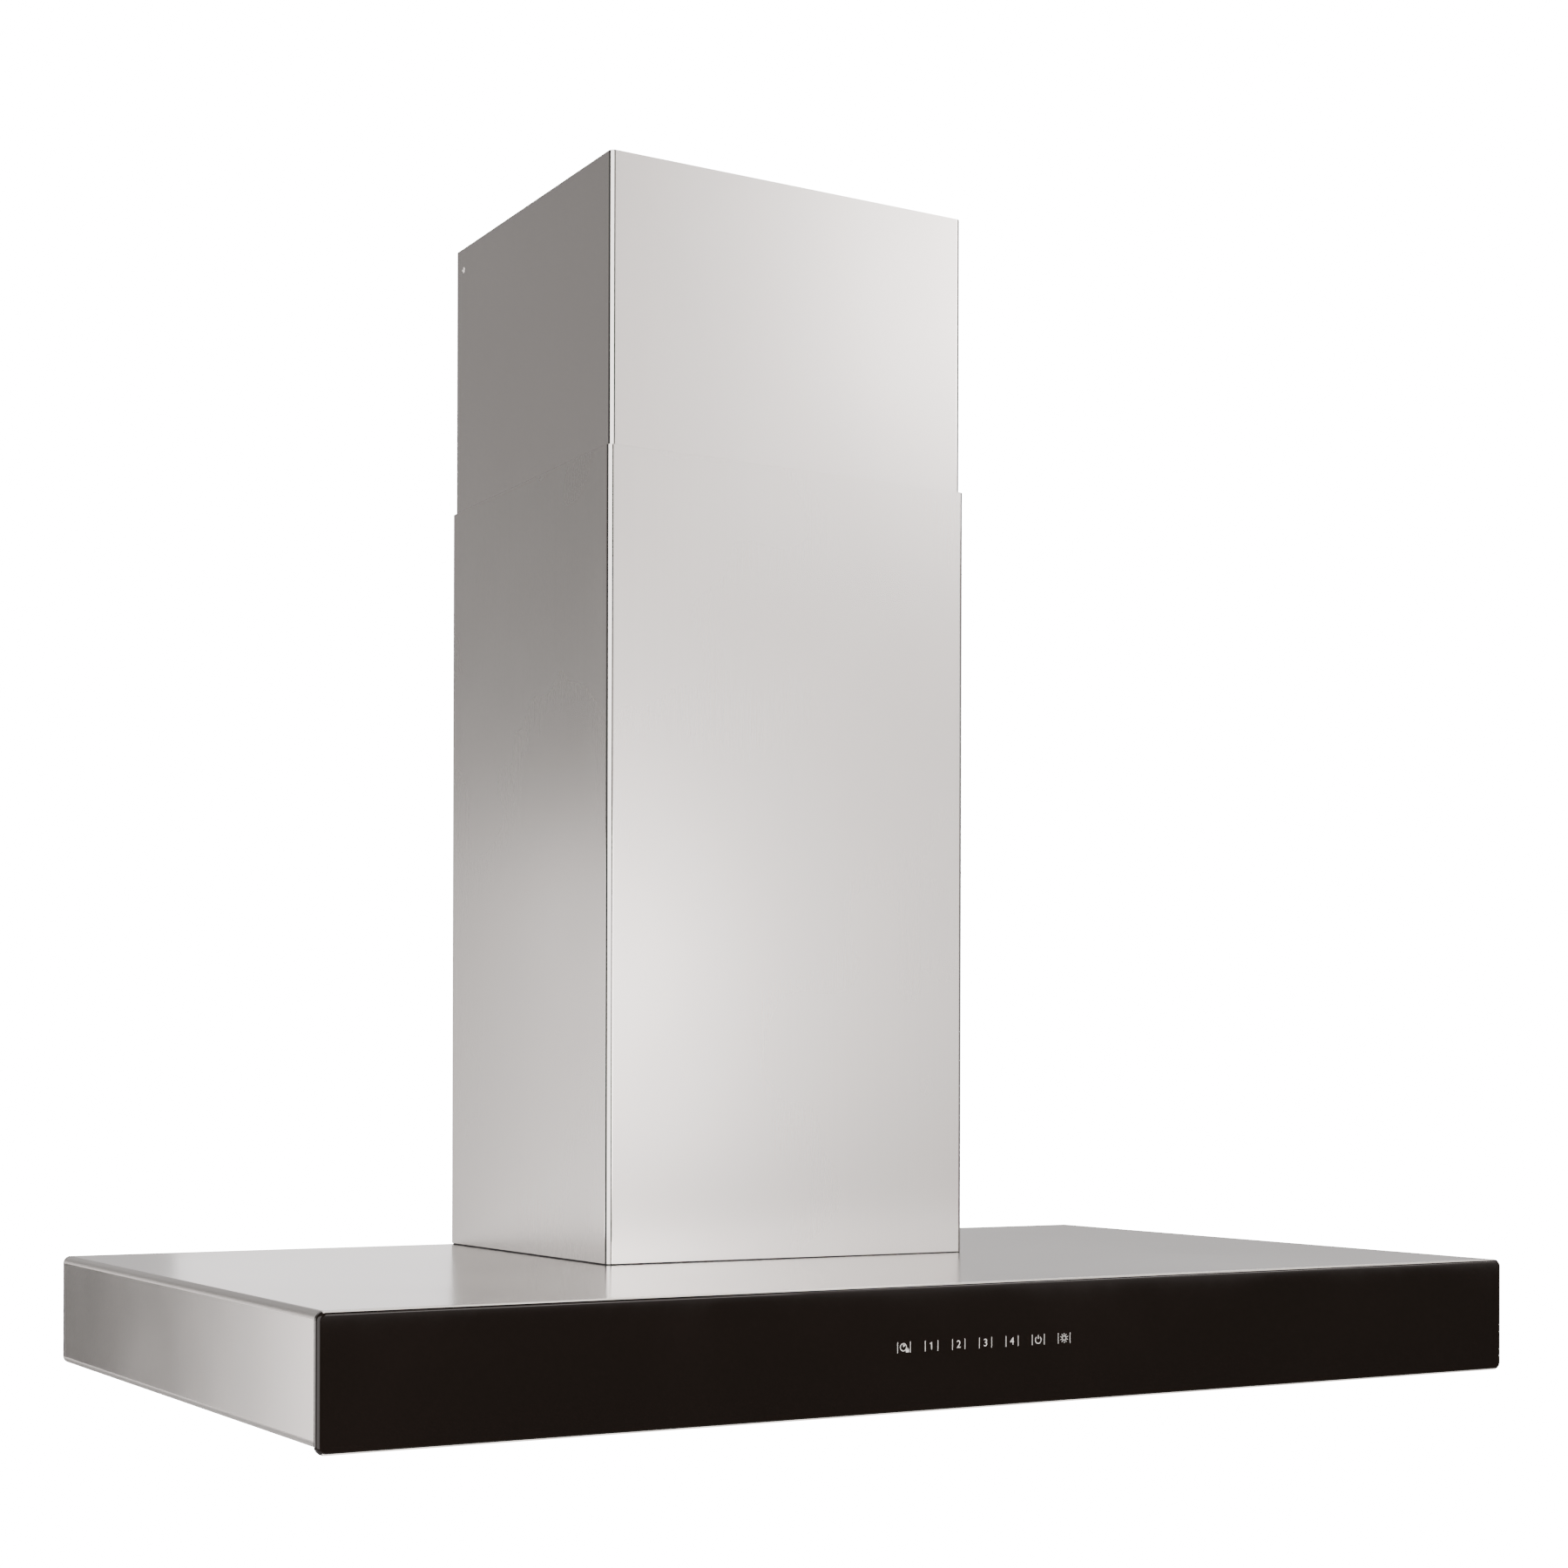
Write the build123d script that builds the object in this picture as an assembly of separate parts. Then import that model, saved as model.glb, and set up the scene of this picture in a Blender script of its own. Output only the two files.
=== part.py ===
from build123d import *
import math
import os

# Slim wall-mounted range hood with a telescoping chimney.
# Frame: X to the right seen from the front, Y towards the wall, Z up.
# The origin is on the wall plane, at mid width, level with the canopy's underside.
# All sizes are in millimetres.

# Canopy
CANOPY_WIDTH = 898.0
CANOPY_HEIGHT = 77.0
CANOPY_SHEET = 1.0
CANOPY_BEND = 5.0
CANOPY_RETURN = 12.0
HOOD_DEPTH = 520.0

# Front glass
GLASS_WIDTH = 900.0
GLASS_THICKNESS = 5.0
GLASS_HANG = 3.0
GLASS_CORNER = 5.5
GLASS_EDGE = 1.2
TAPE_THICKNESS = 1.0

# Touch control behind the glass
TOUCH_CENTRE_X = -3.5
TOUCH_CENTRE_Z = 38.5
TOUCH_COUNT = 7
TOUCH_PITCH = 20.6
TOUCH_WINDOW = (152.0, 30.0)

# Filters and the openings they close
FILTER_COUNT = 3
FILTER_PITCH = 270.0
FILTER_WIDTH = 254.0
FILTER_FRONT = -394.0
FILTER_REAR = -46.0
FILTER_BOTTOM = 0.2
FILTER_HEIGHT = 10.0
FILTER_GAP = 1.0
RIM_SIDE = 14.0
RIM_FRONT = 24.0
BAFFLE_COUNT = 8
BAFFLE_PITCH = 28.0
BAFFLE_WIDTH = 18.0
BAFFLE_SHEET = 0.8
LATCH_TRAVEL = 7.0

# Lamps
LAMP_X = 300.0
LAMP_Y = -455.0
LAMP_RADIUS = 29.0

# Chimney covers
COVER_WIDTH = 296.0
COVER_DEPTH = 272.0
COVER_SHEET = 0.8
COVER_BEND = 4.0
COVER_RETURN = 15.0
COVER_TOP = 644.0
COVER_INSET = 2.0
COVER_REAR_GAP = 1.1
UPPER_BOTTOM = 347.0
UPPER_TOP = 848.0
COVER_HOLE_RADIUS = 2.5
COVER_HOLE_FROM_REAR = 16.0
COVER_HOLE_BELOW_TOP = 16.6
GLIDE_THICKNESS = 0.9

# Wall fixings
FIXING_RADIUS = 4.0
FIXING_SPACING_X = 400.0
FIXING_SPACING_Z = 38.0

# Blower box, standing on the canopy inside the chimney
BOX_WIDTH = 268.0
BOX_FRONT = -258.0
BOX_REAR = -8.0
BOX_SHEET = 1.0
BOX_TOP = 340.0
PLATE = 1.2
INLET_WIDTH = 230.0
INLET_DEPTH = 205.0
GUARD_LAP = 8.0
GUARD_RIM = 7.0
GUARD_WIRE = 1.0
GUARD_WIRES = 11
GUARD_PITCH = 20.0

# Fan, scroll housing and motor
FAN_Y = -125.0
FAN_Z = 200.0
FAN_RADIUS = 86.0
FAN_HALF_WIDTH = 75.0
FAN_BLADES = 36
FAN_DISC_X = 10.0
SCROLL_HALF_WIDTH = 85.0
SCROLL_START = 92.0
SCROLL_END = 116.0
TONGUE_ANGLE = 50.0
SCROLL_SWEEP = 230.0
SCROLL_INLET_RADIUS = 70.0
SHAFT_RADIUS = 4.0
RUNNING_GAP = 0.05
MOTOR_RADIUS = 42.0

# Duct collar and its backdraft flaps
COLLAR_RADIUS = 75.0
COLLAR_Y = -153.5
COLLAR_TOP = 401.0
FLAP_Z = 362.0
FLAP_RADIUS = 71.5
FLAP_SHEET = 1.0
FLAP_ROD_RADIUS = 1.5
KNUCKLE_RADIUS = 3.0
KNUCKLE_LENGTH = 14.0

# Worked out from the above
GLASS_BACK = -HOOD_DEPTH + GLASS_THICKNESS
BODY_FRONT = GLASS_BACK + TAPE_THICKNESS
INNER_HEIGHT = CANOPY_HEIGHT - 2 * CANOPY_SHEET
PANEL_BOTTOM = CANOPY_SHEET
PANEL_TOP = 2 * CANOPY_SHEET
FILTER_X = [(i - (FILTER_COUNT - 1) / 2) * FILTER_PITCH for i in range(FILTER_COUNT)]
FILTER_NAMES = ["left", "middle", "right"]
COVER_Y = -COVER_DEPTH / 2
BOX_Y = (BOX_FRONT + BOX_REAR) / 2
BOX_BOTTOM = CANOPY_HEIGHT + PLATE


def block(x0, x1, y0, y1, z0, z1):
    """A box given by its two corners."""
    size = Box(x1 - x0, y1 - y0, z1 - z0)
    return Pos((x0 + x1) / 2, (y0 + y1) / 2, (z0 + z1) / 2) * size


def rod_x(radius, x0, x1, y, z):
    return Pos((x0 + x1) / 2, y, z) * Rot(0, 90, 0) * Cylinder(radius, x1 - x0)


def rod_y(radius, x, y0, y1, z):
    return Pos(x, (y0 + y1) / 2, z) * Rot(90, 0, 0) * Cylinder(radius, y1 - y0)


def rod_z(radius, x, y, z0, z1):
    return Pos(x, y, (z0 + z1) / 2) * Cylinder(radius, z1 - z0)


def joined(shapes):
    """One part holding all the shapes."""
    return Part() + list(shapes)


def bent_channel(width, depth, sheet, bend, lip):
    """Outline of a folded C channel, open at +Y between its two lips."""
    outline = RectangleRounded(width, depth, bend)
    outline -= RectangleRounded(width - 2 * sheet, depth - 2 * sheet, bend - sheet)
    outline -= Pos(0, depth / 2) * Rectangle(width - 2 * lip, 4 * sheet)
    return outline


# ---- canopy ----

def canopy_shell():
    """Top and both sides, folded from one sheet, with a lip under each side."""
    profile = RectangleRounded(CANOPY_WIDTH, CANOPY_HEIGHT, CANOPY_BEND)
    profile -= RectangleRounded(CANOPY_WIDTH - 2 * CANOPY_SHEET, INNER_HEIGHT,
                                CANOPY_BEND - CANOPY_SHEET)
    mouth = Rectangle(CANOPY_WIDTH - 2 * CANOPY_RETURN, 4 * CANOPY_SHEET)
    profile -= Pos(0, -CANOPY_HEIGHT / 2) * mouth
    shell = extrude(Plane.XZ * profile, amount=-BODY_FRONT)
    shell = Pos(0, 0, CANOPY_HEIGHT / 2) * shell
    inlet = extrude(RectangleRounded(INLET_WIDTH, INLET_DEPTH, 10), amount=10)
    return shell - Pos(0, BOX_Y, CANOPY_HEIGHT - 5) * inlet


def end_plate(y_front, y_back):
    """Plate that closes an end of the canopy's folded shell."""
    side_gap = 0.2
    plate = RectangleRounded(CANOPY_WIDTH - 2 * CANOPY_SHEET - 2 * side_gap,
                             INNER_HEIGHT - 2 * side_gap, CANOPY_BEND - CANOPY_SHEET)
    plate = extrude(Plane.XZ * plate, amount=y_back - y_front)
    return Pos(0, y_back, CANOPY_HEIGHT / 2) * plate


def front_rail():
    """Inner front wall that carries the glass, with a window for the touch control."""
    flange_half = CANOPY_WIDTH / 2 - 8
    web_back = BODY_FRONT + CANOPY_SHEET
    rail = end_plate(BODY_FRONT, web_back)
    for z in (PANEL_TOP + 0.2, CANOPY_HEIGHT - 2.2):
        rail += block(-flange_half, flange_half, web_back - 0.1, web_back + 13, z, z + 1)
    window = block(-TOUCH_WINDOW[0] / 2, TOUCH_WINDOW[0] / 2, -10, 10,
                   -TOUCH_WINDOW[1] / 2, TOUCH_WINDOW[1] / 2)
    return rail - Pos(TOUCH_CENTRE_X, BODY_FRONT, TOUCH_CENTRE_Z) * window


def back_panel():
    """Rear wall of the canopy, with the four wall fixing holes."""
    panel = end_plate(-CANOPY_SHEET, 0)
    for x in (-FIXING_SPACING_X / 2, FIXING_SPACING_X / 2):
        for z in (-FIXING_SPACING_Z / 2, FIXING_SPACING_Z / 2):
            panel -= rod_y(FIXING_RADIUS, x, -5, 5, CANOPY_HEIGHT / 2 + z)
    return panel


def underside_panel():
    """Bottom sheet with the filter openings and the lamp holes."""
    half = CANOPY_WIDTH / 2 - CANOPY_BEND - 0.5
    panel = block(-half, half, BODY_FRONT + 1.2, -1.2, PANEL_BOTTOM, PANEL_TOP)
    for x in FILTER_X:
        panel -= block(x - FILTER_WIDTH / 2 - FILTER_GAP, x + FILTER_WIDTH / 2 + FILTER_GAP,
                       FILTER_FRONT - FILTER_GAP, FILTER_REAR + FILTER_GAP, -5, 5)
    for x in (-LAMP_X, LAMP_X):
        panel -= rod_z(LAMP_RADIUS + 1, x, LAMP_Y, -5, 5)
    return panel


def canopy_screws():
    """Pan heads that hold the underside panel up through the side lips."""
    x = CANOPY_WIDTH / 2 - 8.5
    heads = []
    for y in (-480, -260, -40):
        for side in (-1, 1):
            heads.append(rod_z(3.2, side * x, y, -1.6, 0))
    return joined(heads)


# ---- front glass and touch control ----

def front_glass():
    """Front pane, rounded at its corners and round its front edge."""
    height = CANOPY_HEIGHT + GLASS_HANG
    pane = RectangleRounded(GLASS_WIDTH, height, GLASS_CORNER)
    pane = extrude(Plane.XZ * pane, amount=GLASS_THICKNESS)
    pane = Pos(0, GLASS_BACK, height / 2 - GLASS_HANG) * pane
    return fillet(pane.faces().sort_by(Axis.Y)[0].edges(), GLASS_EDGE)


def glass_tape():
    """Two strips of foam tape that bond the glass to the front rail."""
    half = GLASS_WIDTH / 2 - 12
    strips = []
    for z in (8, 60):
        strips.append(block(-half, half, GLASS_BACK, BODY_FRONT, z, z + 10))
    return joined(strips)


def touch_housing():
    """Plastic tray behind the front rail that holds the touch board."""
    width = TOUCH_WINDOW[0] + 12
    height = TOUCH_WINDOW[1] + 8
    front = BODY_FRONT + CANOPY_SHEET
    wall = 1.5
    tray = block(-width / 2, width / 2, front, front + 14, -height / 2, height / 2)
    tray -= block(-width / 2 + wall, width / 2 - wall, front - 1, front + 12,
                  -height / 2 + wall, height / 2 - wall)
    return Pos(TOUCH_CENTRE_X, 0, TOUCH_CENTRE_Z) * tray


def touch_board():
    """Circuit board that reads the touch pads."""
    y = BODY_FRONT + 5
    half_width = TOUCH_WINDOW[0] / 2 - 1
    half_height = TOUCH_WINDOW[1] / 2 - 1
    board = block(-half_width, half_width, y, y + 1.6, -half_height, half_height)
    return Pos(TOUCH_CENTRE_X, 0, TOUCH_CENTRE_Z) * board


def touch_sensors():
    """Seven sprung sleeves between the board and the back of the glass."""
    sleeves = []
    for i in range(TOUCH_COUNT):
        x = TOUCH_CENTRE_X + (i - (TOUCH_COUNT - 1) / 2) * TOUCH_PITCH
        sleeve = rod_y(4.5, x, GLASS_BACK, BODY_FRONT + 5, TOUCH_CENTRE_Z)
        sleeve -= rod_y(3.7, x, GLASS_BACK - 1, BODY_FRONT + 6, TOUCH_CENTRE_Z)
        sleeves.append(sleeve)
    return joined(sleeves)


# ---- lamps ----

def lamp_bezel(x):
    ring = rod_z(LAMP_RADIUS + 5, x, LAMP_Y, -1, PANEL_BOTTOM)
    return ring - rod_z(LAMP_RADIUS - 3, x, LAMP_Y, -2, PANEL_TOP)


def lamp_lens(x):
    return rod_z(LAMP_RADIUS - 3.2, x, LAMP_Y, -0.5, PANEL_BOTTOM)


def lamp_body(x):
    """Finned heat sink that stands through the panel."""
    body = rod_z(LAMP_RADIUS, x, LAMP_Y, PANEL_BOTTOM, 12)
    body += rod_z(12, x, LAMP_Y, 11, 22)
    for z in (13.5, 16.5, 19.5):
        body += rod_z(LAMP_RADIUS - 3, x, LAMP_Y, z, z + 1.2)
    return body


def led_driver():
    return block(100, 190, -470, -430, 48, CANOPY_HEIGHT - CANOPY_SHEET)


# ---- filters ----

def filter_frame(x):
    """Folded rim, open upwards, with two rear tabs and the latch's slot and mouth."""
    half = FILTER_WIDTH / 2
    sheet = 1.0
    z0 = FILTER_BOTTOM
    z1 = FILTER_BOTTOM + FILTER_HEIGHT
    rim = block(-half, half, FILTER_FRONT, FILTER_REAR, z0, z1)
    rim -= block(-half + RIM_SIDE, half - RIM_SIDE, FILTER_FRONT + RIM_FRONT,
                 FILTER_REAR - RIM_SIDE, z0 - 1, z1 + 1)
    groove = block(-half + sheet, half - sheet, FILTER_FRONT + sheet, FILTER_REAR - sheet,
                   z0 + sheet, z1 + 1)
    groove -= block(-half + RIM_SIDE - sheet, half - RIM_SIDE + sheet,
                    FILTER_FRONT + RIM_FRONT - sheet, FILTER_REAR - RIM_SIDE + sheet, z0, z1 + 2)
    rim -= groove
    for side in (-1, 1):
        tab_x = side * 80
        rim += block(tab_x - 10, tab_x + 10, FILTER_REAR - sheet, FILTER_REAR + 7, 2.3, 3.3)
    rim -= block(-5.5, 5.5, FILTER_FRONT + 5.5, FILTER_FRONT + 17.5, z0 - 1, z0 + 2)
    rim -= block(-8.5, 8.5, FILTER_FRONT - 1, FILTER_FRONT + 2, z0 + sheet, z0 + 4)
    return Pos(x, 0, 0) * rim


def baffle(x, base_z, lip_z):
    """One folded slat with a lip along each side, from base_z towards lip_z."""
    y0 = FILTER_FRONT + RIM_FRONT
    y1 = FILTER_REAR - RIM_SIDE
    half = BAFFLE_WIDTH / 2
    up = 1 if lip_z > base_z else -1
    low, high = sorted((base_z, base_z + up * BAFFLE_SHEET))
    slat = block(x - half, x + half, y0, y1, low, high)
    low, high = sorted((base_z, lip_z))
    for side in (-1, 1):
        inner = x + side * (half - BAFFLE_SHEET)
        outer = x + side * half
        slat += block(min(inner, outer), max(inner, outer), y0, y1, low, high)
    return slat


def filter_baffles(x):
    """Lower slats with upper slats over their gaps, so that air turns twice."""
    slats = []
    for i in range(BAFFLE_COUNT):
        offset = (i - (BAFFLE_COUNT - 1) / 2) * BAFFLE_PITCH
        slats.append(baffle(x + offset, 0.8, 6.0))
    for i in range(BAFFLE_COUNT - 1):
        offset = (i - (BAFFLE_COUNT - 2) / 2) * BAFFLE_PITCH
        slats.append(baffle(x + offset, 9.6, 3.6))
    return joined(slats)


def filter_handle(x):
    """Curled finger pull fixed under the front rim, beside the latch."""
    y = FILTER_FRONT + 6
    x0 = x - 82
    x1 = x - 38
    pull = block(x0, x1, y, y + 12, FILTER_BOTTOM - 1, FILTER_BOTTOM)
    return pull + block(x0, x1, y + 11, y + 12, FILTER_BOTTOM - 3, FILTER_BOTTOM)


def filter_latch(x):
    """Sliding latch: button under the rim, stem through its slot, bolt inside the rim."""
    y = FILTER_FRONT
    bolt = block(x - 18, x + 18, y + 3, y + 13, 1.6, 3.6)
    bolt += block(x - 8, x + 8, y + 0.3, y + 3, 1.6, 3.6)
    bolt += block(x - 5, x + 5, y + 6, y + 10, -0.3, 1.6)
    return bolt + block(x - 13, x + 13, y + 3, y + 15, -2.8, -0.3)


# ---- chimney covers ----

def lower_cover():
    """Lower chimney cover: front and sides in one sheet, open at the wall."""
    outline = bent_channel(COVER_WIDTH, COVER_DEPTH, COVER_SHEET, COVER_BEND, COVER_RETURN)
    cover = extrude(outline, amount=COVER_TOP - CANOPY_HEIGHT)
    return Pos(0, COVER_Y, CANOPY_HEIGHT) * cover


def upper_cover():
    """Upper cover, which slides inside the lower one."""
    width = COVER_WIDTH - 2 * COVER_INSET
    depth = COVER_DEPTH - COVER_INSET - COVER_REAR_GAP
    outline = bent_channel(width, depth, COVER_SHEET, COVER_BEND, COVER_RETURN)
    cover = extrude(outline, amount=UPPER_TOP - UPPER_BOTTOM)
    cover = Pos(0, -COVER_REAR_GAP - depth / 2, UPPER_BOTTOM) * cover
    return cover - rod_x(COVER_HOLE_RADIUS, -width, width, -COVER_HOLE_FROM_REAR,
                         UPPER_TOP - COVER_HOLE_BELOW_TOP)


def glide_strips():
    """Nylon strips inside the lower cover's mouth that the upper cover runs on."""
    inner = COVER_WIDTH / 2 - COVER_SHEET
    front = -COVER_DEPTH + COVER_SHEET
    z0 = COVER_TOP - 84
    z1 = COVER_TOP - 4
    strips = []
    for side in (-1, 1):
        low, high = sorted((side * inner, side * (inner - GLIDE_THICKNESS)))
        for y in (-200, -80):
            strips.append(block(low, high, y, y + 20, z0, z1))
        strips.append(block(side * 70 - 10, side * 70 + 10, front, front + GLIDE_THICKNESS, z0, z1))
    return joined(strips)


def cover_feet():
    """Four angle feet that hold the lower cover on the canopy."""
    inner = COVER_WIDTH / 2 - COVER_SHEET
    z0 = CANOPY_HEIGHT
    feet = []
    for side in (-1, 1):
        for y in (-220, -60):
            low, high = sorted((side * (inner - PLATE), side * inner))
            leg = block(low, high, y, y + 30, z0, z0 + 22)
            low, high = sorted((side * (inner - 11), side * inner))
            feet.append(leg + block(low, high, y, y + 30, z0, z0 + PLATE))
    return joined(feet)


def cover_screws():
    """Screw heads on the angle feet."""
    x = COVER_WIDTH / 2 - COVER_SHEET - 6
    z = CANOPY_HEIGHT + PLATE
    heads = []
    for side in (-1, 1):
        for y in (-205, -45):
            heads.append(rod_z(3, side * x, y, z, z + 2))
    return joined(heads)


# ---- blower box ----

def blower_base():
    """Base plate of the blower box, with the inlet opening."""
    half = BOX_WIDTH / 2
    base = block(-half, half, BOX_FRONT, BOX_REAR, CANOPY_HEIGHT, BOX_BOTTOM)
    inlet = extrude(RectangleRounded(INLET_WIDTH, INLET_DEPTH, 10), amount=10)
    return base - Pos(0, BOX_Y, CANOPY_HEIGHT - 5) * inlet


def blower_box():
    """Front and side walls of the blower box."""
    depth = BOX_REAR - BOX_SHEET - BOX_FRONT
    outline = bent_channel(BOX_WIDTH, depth, BOX_SHEET, 2.0, 14.0)
    walls = extrude(outline, amount=BOX_TOP - BOX_BOTTOM)
    return Pos(0, BOX_FRONT + depth / 2, BOX_BOTTOM) * walls


def blower_rear_cover():
    """Removable rear cover, stiffened by a raised field."""
    half = BOX_WIDTH / 2
    rear = BOX_REAR
    cover = block(-half, half, rear - BOX_SHEET, rear, BOX_BOTTOM, BOX_TOP)
    return cover + block(-half + 32, half - 32, rear, rear + 3, BOX_BOTTOM + 32, BOX_TOP - 32)


def blower_lid():
    """Top plate, with the round outlet under the collar."""
    half = BOX_WIDTH / 2
    lid = block(-half, half, BOX_FRONT, BOX_REAR, BOX_TOP, BOX_TOP + PLATE)
    return lid - rod_z(COLLAR_RADIUS - 2, 0, COLLAR_Y, BOX_TOP - 1, BOX_TOP + 5)


def blower_screws():
    """Screw heads round the rear cover and the lid."""
    x = BOX_WIDTH / 2 - 8
    heads = []
    for side in (-1, 1):
        for z in (BOX_BOTTOM + 14, (BOX_BOTTOM + BOX_TOP) / 2, BOX_TOP - 14):
            heads.append(rod_y(3.5, side * x, BOX_REAR, BOX_REAR + 2, z))
        for y in (BOX_FRONT + 14, BOX_Y, BOX_REAR - 14):
            heads.append(rod_z(3.5, side * x, y, BOX_TOP + PLATE, BOX_TOP + PLATE + 2))
    return joined(heads)


def guard_frame():
    """Rim of the inlet guard, under the canopy's top."""
    top = CANOPY_HEIGHT - CANOPY_SHEET
    half_x = INLET_WIDTH / 2 + GUARD_LAP
    half_y = INLET_DEPTH / 2 + GUARD_LAP
    rim = block(-half_x, half_x, BOX_Y - half_y, BOX_Y + half_y, top - 2, top)
    return rim - block(-half_x + GUARD_RIM, half_x - GUARD_RIM,
                       BOX_Y - half_y + GUARD_RIM, BOX_Y + half_y - GUARD_RIM, 0, top + 1)


def guard_wires():
    """Parallel wires welded under the guard's rim."""
    z = CANOPY_HEIGHT - CANOPY_SHEET - 2 - GUARD_WIRE
    half_y = INLET_DEPTH / 2 + GUARD_LAP - 2
    wires = []
    for i in range(GUARD_WIRES):
        x = (i - (GUARD_WIRES - 1) / 2) * GUARD_PITCH
        wires.append(rod_y(GUARD_WIRE, x, BOX_Y - half_y, BOX_Y + half_y, z))
    return joined(wires)


# ---- scroll housing ----

def scroll_outline(extra):
    """Air passage of the scroll, grown outwards by extra, up to the box's top."""
    steps = 12
    points = []
    for i in range(steps + 1):
        turn = i / steps
        angle = math.radians(TONGUE_ANGLE - SCROLL_SWEEP * turn)
        radius = SCROLL_START + (SCROLL_END - SCROLL_START) * turn + extra
        points.append((FAN_Y + radius * math.cos(angle), FAN_Z + radius * math.sin(angle)))
    rear_top = (points[0][0], BOX_TOP)
    front_top = (points[-1][0], BOX_TOP)
    edges = Spline(*points) + Line(points[-1], front_top)
    edges += Line(front_top, rear_top) + Line(rear_top, points[0])
    return make_face(edges)


def scroll_prism(extra, x0, x1):
    return Pos(x0, 0, 0) * extrude(Plane.YZ * scroll_outline(extra), amount=x1 - x0)


def scroll_wrap():
    """Spiral band between the two side plates."""
    half = SCROLL_HALF_WIDTH
    return scroll_prism(1.0, -half, half) - scroll_prism(0.0, -half - 1, half + 1)


def scroll_side(side):
    """Side plate with a rolled inlet ring."""
    low, high = sorted((side * SCROLL_HALF_WIDTH, side * (SCROLL_HALF_WIDTH + 1)))
    plate = scroll_prism(7.0, low, high)
    low, high = sorted((side * (SCROLL_HALF_WIDTH - 4), side * (SCROLL_HALF_WIDTH + 1)))
    plate += rod_x(SCROLL_INLET_RADIUS + 1.5, low, high, FAN_Y, FAN_Z)
    return plate - rod_x(SCROLL_INLET_RADIUS, -200, 200, FAN_Y, FAN_Z)


# ---- motor and fan ----

def around_fan(shape, count, first=0.0):
    """Copies of a shape turned about the fan's axis."""
    copies = []
    for i in range(count):
        turn = Pos(0, FAN_Y, FAN_Z) * Rot(first + i * 360 / count, 0, 0)
        copies.append(turn * shape)
    return copies


def motor_body():
    """Motor can inside the wheel's left half, with a bearing boss."""
    can = rod_x(MOTOR_RADIUS, -66, 2, FAN_Y, FAN_Z)
    can += rod_x(11, 1, 7, FAN_Y, FAN_Z)
    return can - rod_x(SHAFT_RADIUS + RUNNING_GAP, -40, 8, FAN_Y, FAN_Z)


def motor_bracket():
    """Three-armed spider on the left side plate, with a stud for each grommet."""
    x1 = -SCROLL_HALF_WIDTH - 1
    x0 = x1 - 2
    spider = rod_x(44, x0, x1, FAN_Y, FAN_Z) - rod_x(22, x0 - 1, x1 + 1, FAN_Y, FAN_Z)
    arm = block(x0, x1, -9, 9, 40, 92)
    stud = rod_x(3, x0, -66, 0, 32)
    return joined([spider] + around_fan(arm, 3) + around_fan(stud, 3))


def motor_grommets():
    grommet = rod_x(8, -74, -66, 0, 32) - rod_x(3, -75, -65, 0, 32)
    return joined(around_fan(grommet, 3))


def motor_shaft():
    return rod_x(SHAFT_RADIUS, -39, 32, FAN_Y, FAN_Z)


def fan_wheel():
    """Double-inlet wheel: blades between two rings, on a disc with a hub."""
    inner = FAN_RADIUS - 14
    wheel = rod_x(FAN_RADIUS - 2, FAN_DISC_X, FAN_DISC_X + 1.5, FAN_Y, FAN_Z)
    wheel += rod_x(13, FAN_DISC_X, 30, FAN_Y, FAN_Z)
    wheel -= rod_x(SHAFT_RADIUS, FAN_DISC_X - 1, 31, FAN_Y, FAN_Z)
    for side in (-1, 1):
        low, high = sorted((side * (FAN_HALF_WIDTH - 3), side * FAN_HALF_WIDTH))
        ring = rod_x(FAN_RADIUS, low, high, FAN_Y, FAN_Z)
        wheel += ring - rod_x(inner, low - 1, high + 1, FAN_Y, FAN_Z)
    blade = Box(2 * FAN_HALF_WIDTH - 2, 1.0, 12.5)
    blade = Pos(0, 0, FAN_RADIUS - 7) * Rot(28, 0, 0) * blade
    return joined([wheel] + around_fan(blade, FAN_BLADES))


# ---- duct collar and flaps ----

def outlet_collar():
    """Round collar for the duct, with a flange and a stop ring for the flaps."""
    z0 = BOX_TOP + PLATE
    stop_low = FLAP_Z - 4
    stop_high = FLAP_Z - 0.8
    collar = rod_z(COLLAR_RADIUS + 7, 0, COLLAR_Y, z0, z0 + 1)
    collar += rod_z(COLLAR_RADIUS, 0, COLLAR_Y, z0, COLLAR_TOP)
    collar -= rod_z(COLLAR_RADIUS - 5, 0, COLLAR_Y, z0 - 1, COLLAR_TOP + 1)
    collar -= rod_z(COLLAR_RADIUS - 1, 0, COLLAR_Y, z0 - 1, stop_low)
    collar -= rod_z(COLLAR_RADIUS - 1, 0, COLLAR_Y, stop_high, COLLAR_TOP + 1)
    return collar - damper_rod()


def damper_rod():
    """Hinge rod of both flaps, its ends let into the collar's stop ring."""
    half = COLLAR_RADIUS - 3
    return rod_x(FLAP_ROD_RADIUS, -half, half, COLLAR_Y, FLAP_Z)


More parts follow.
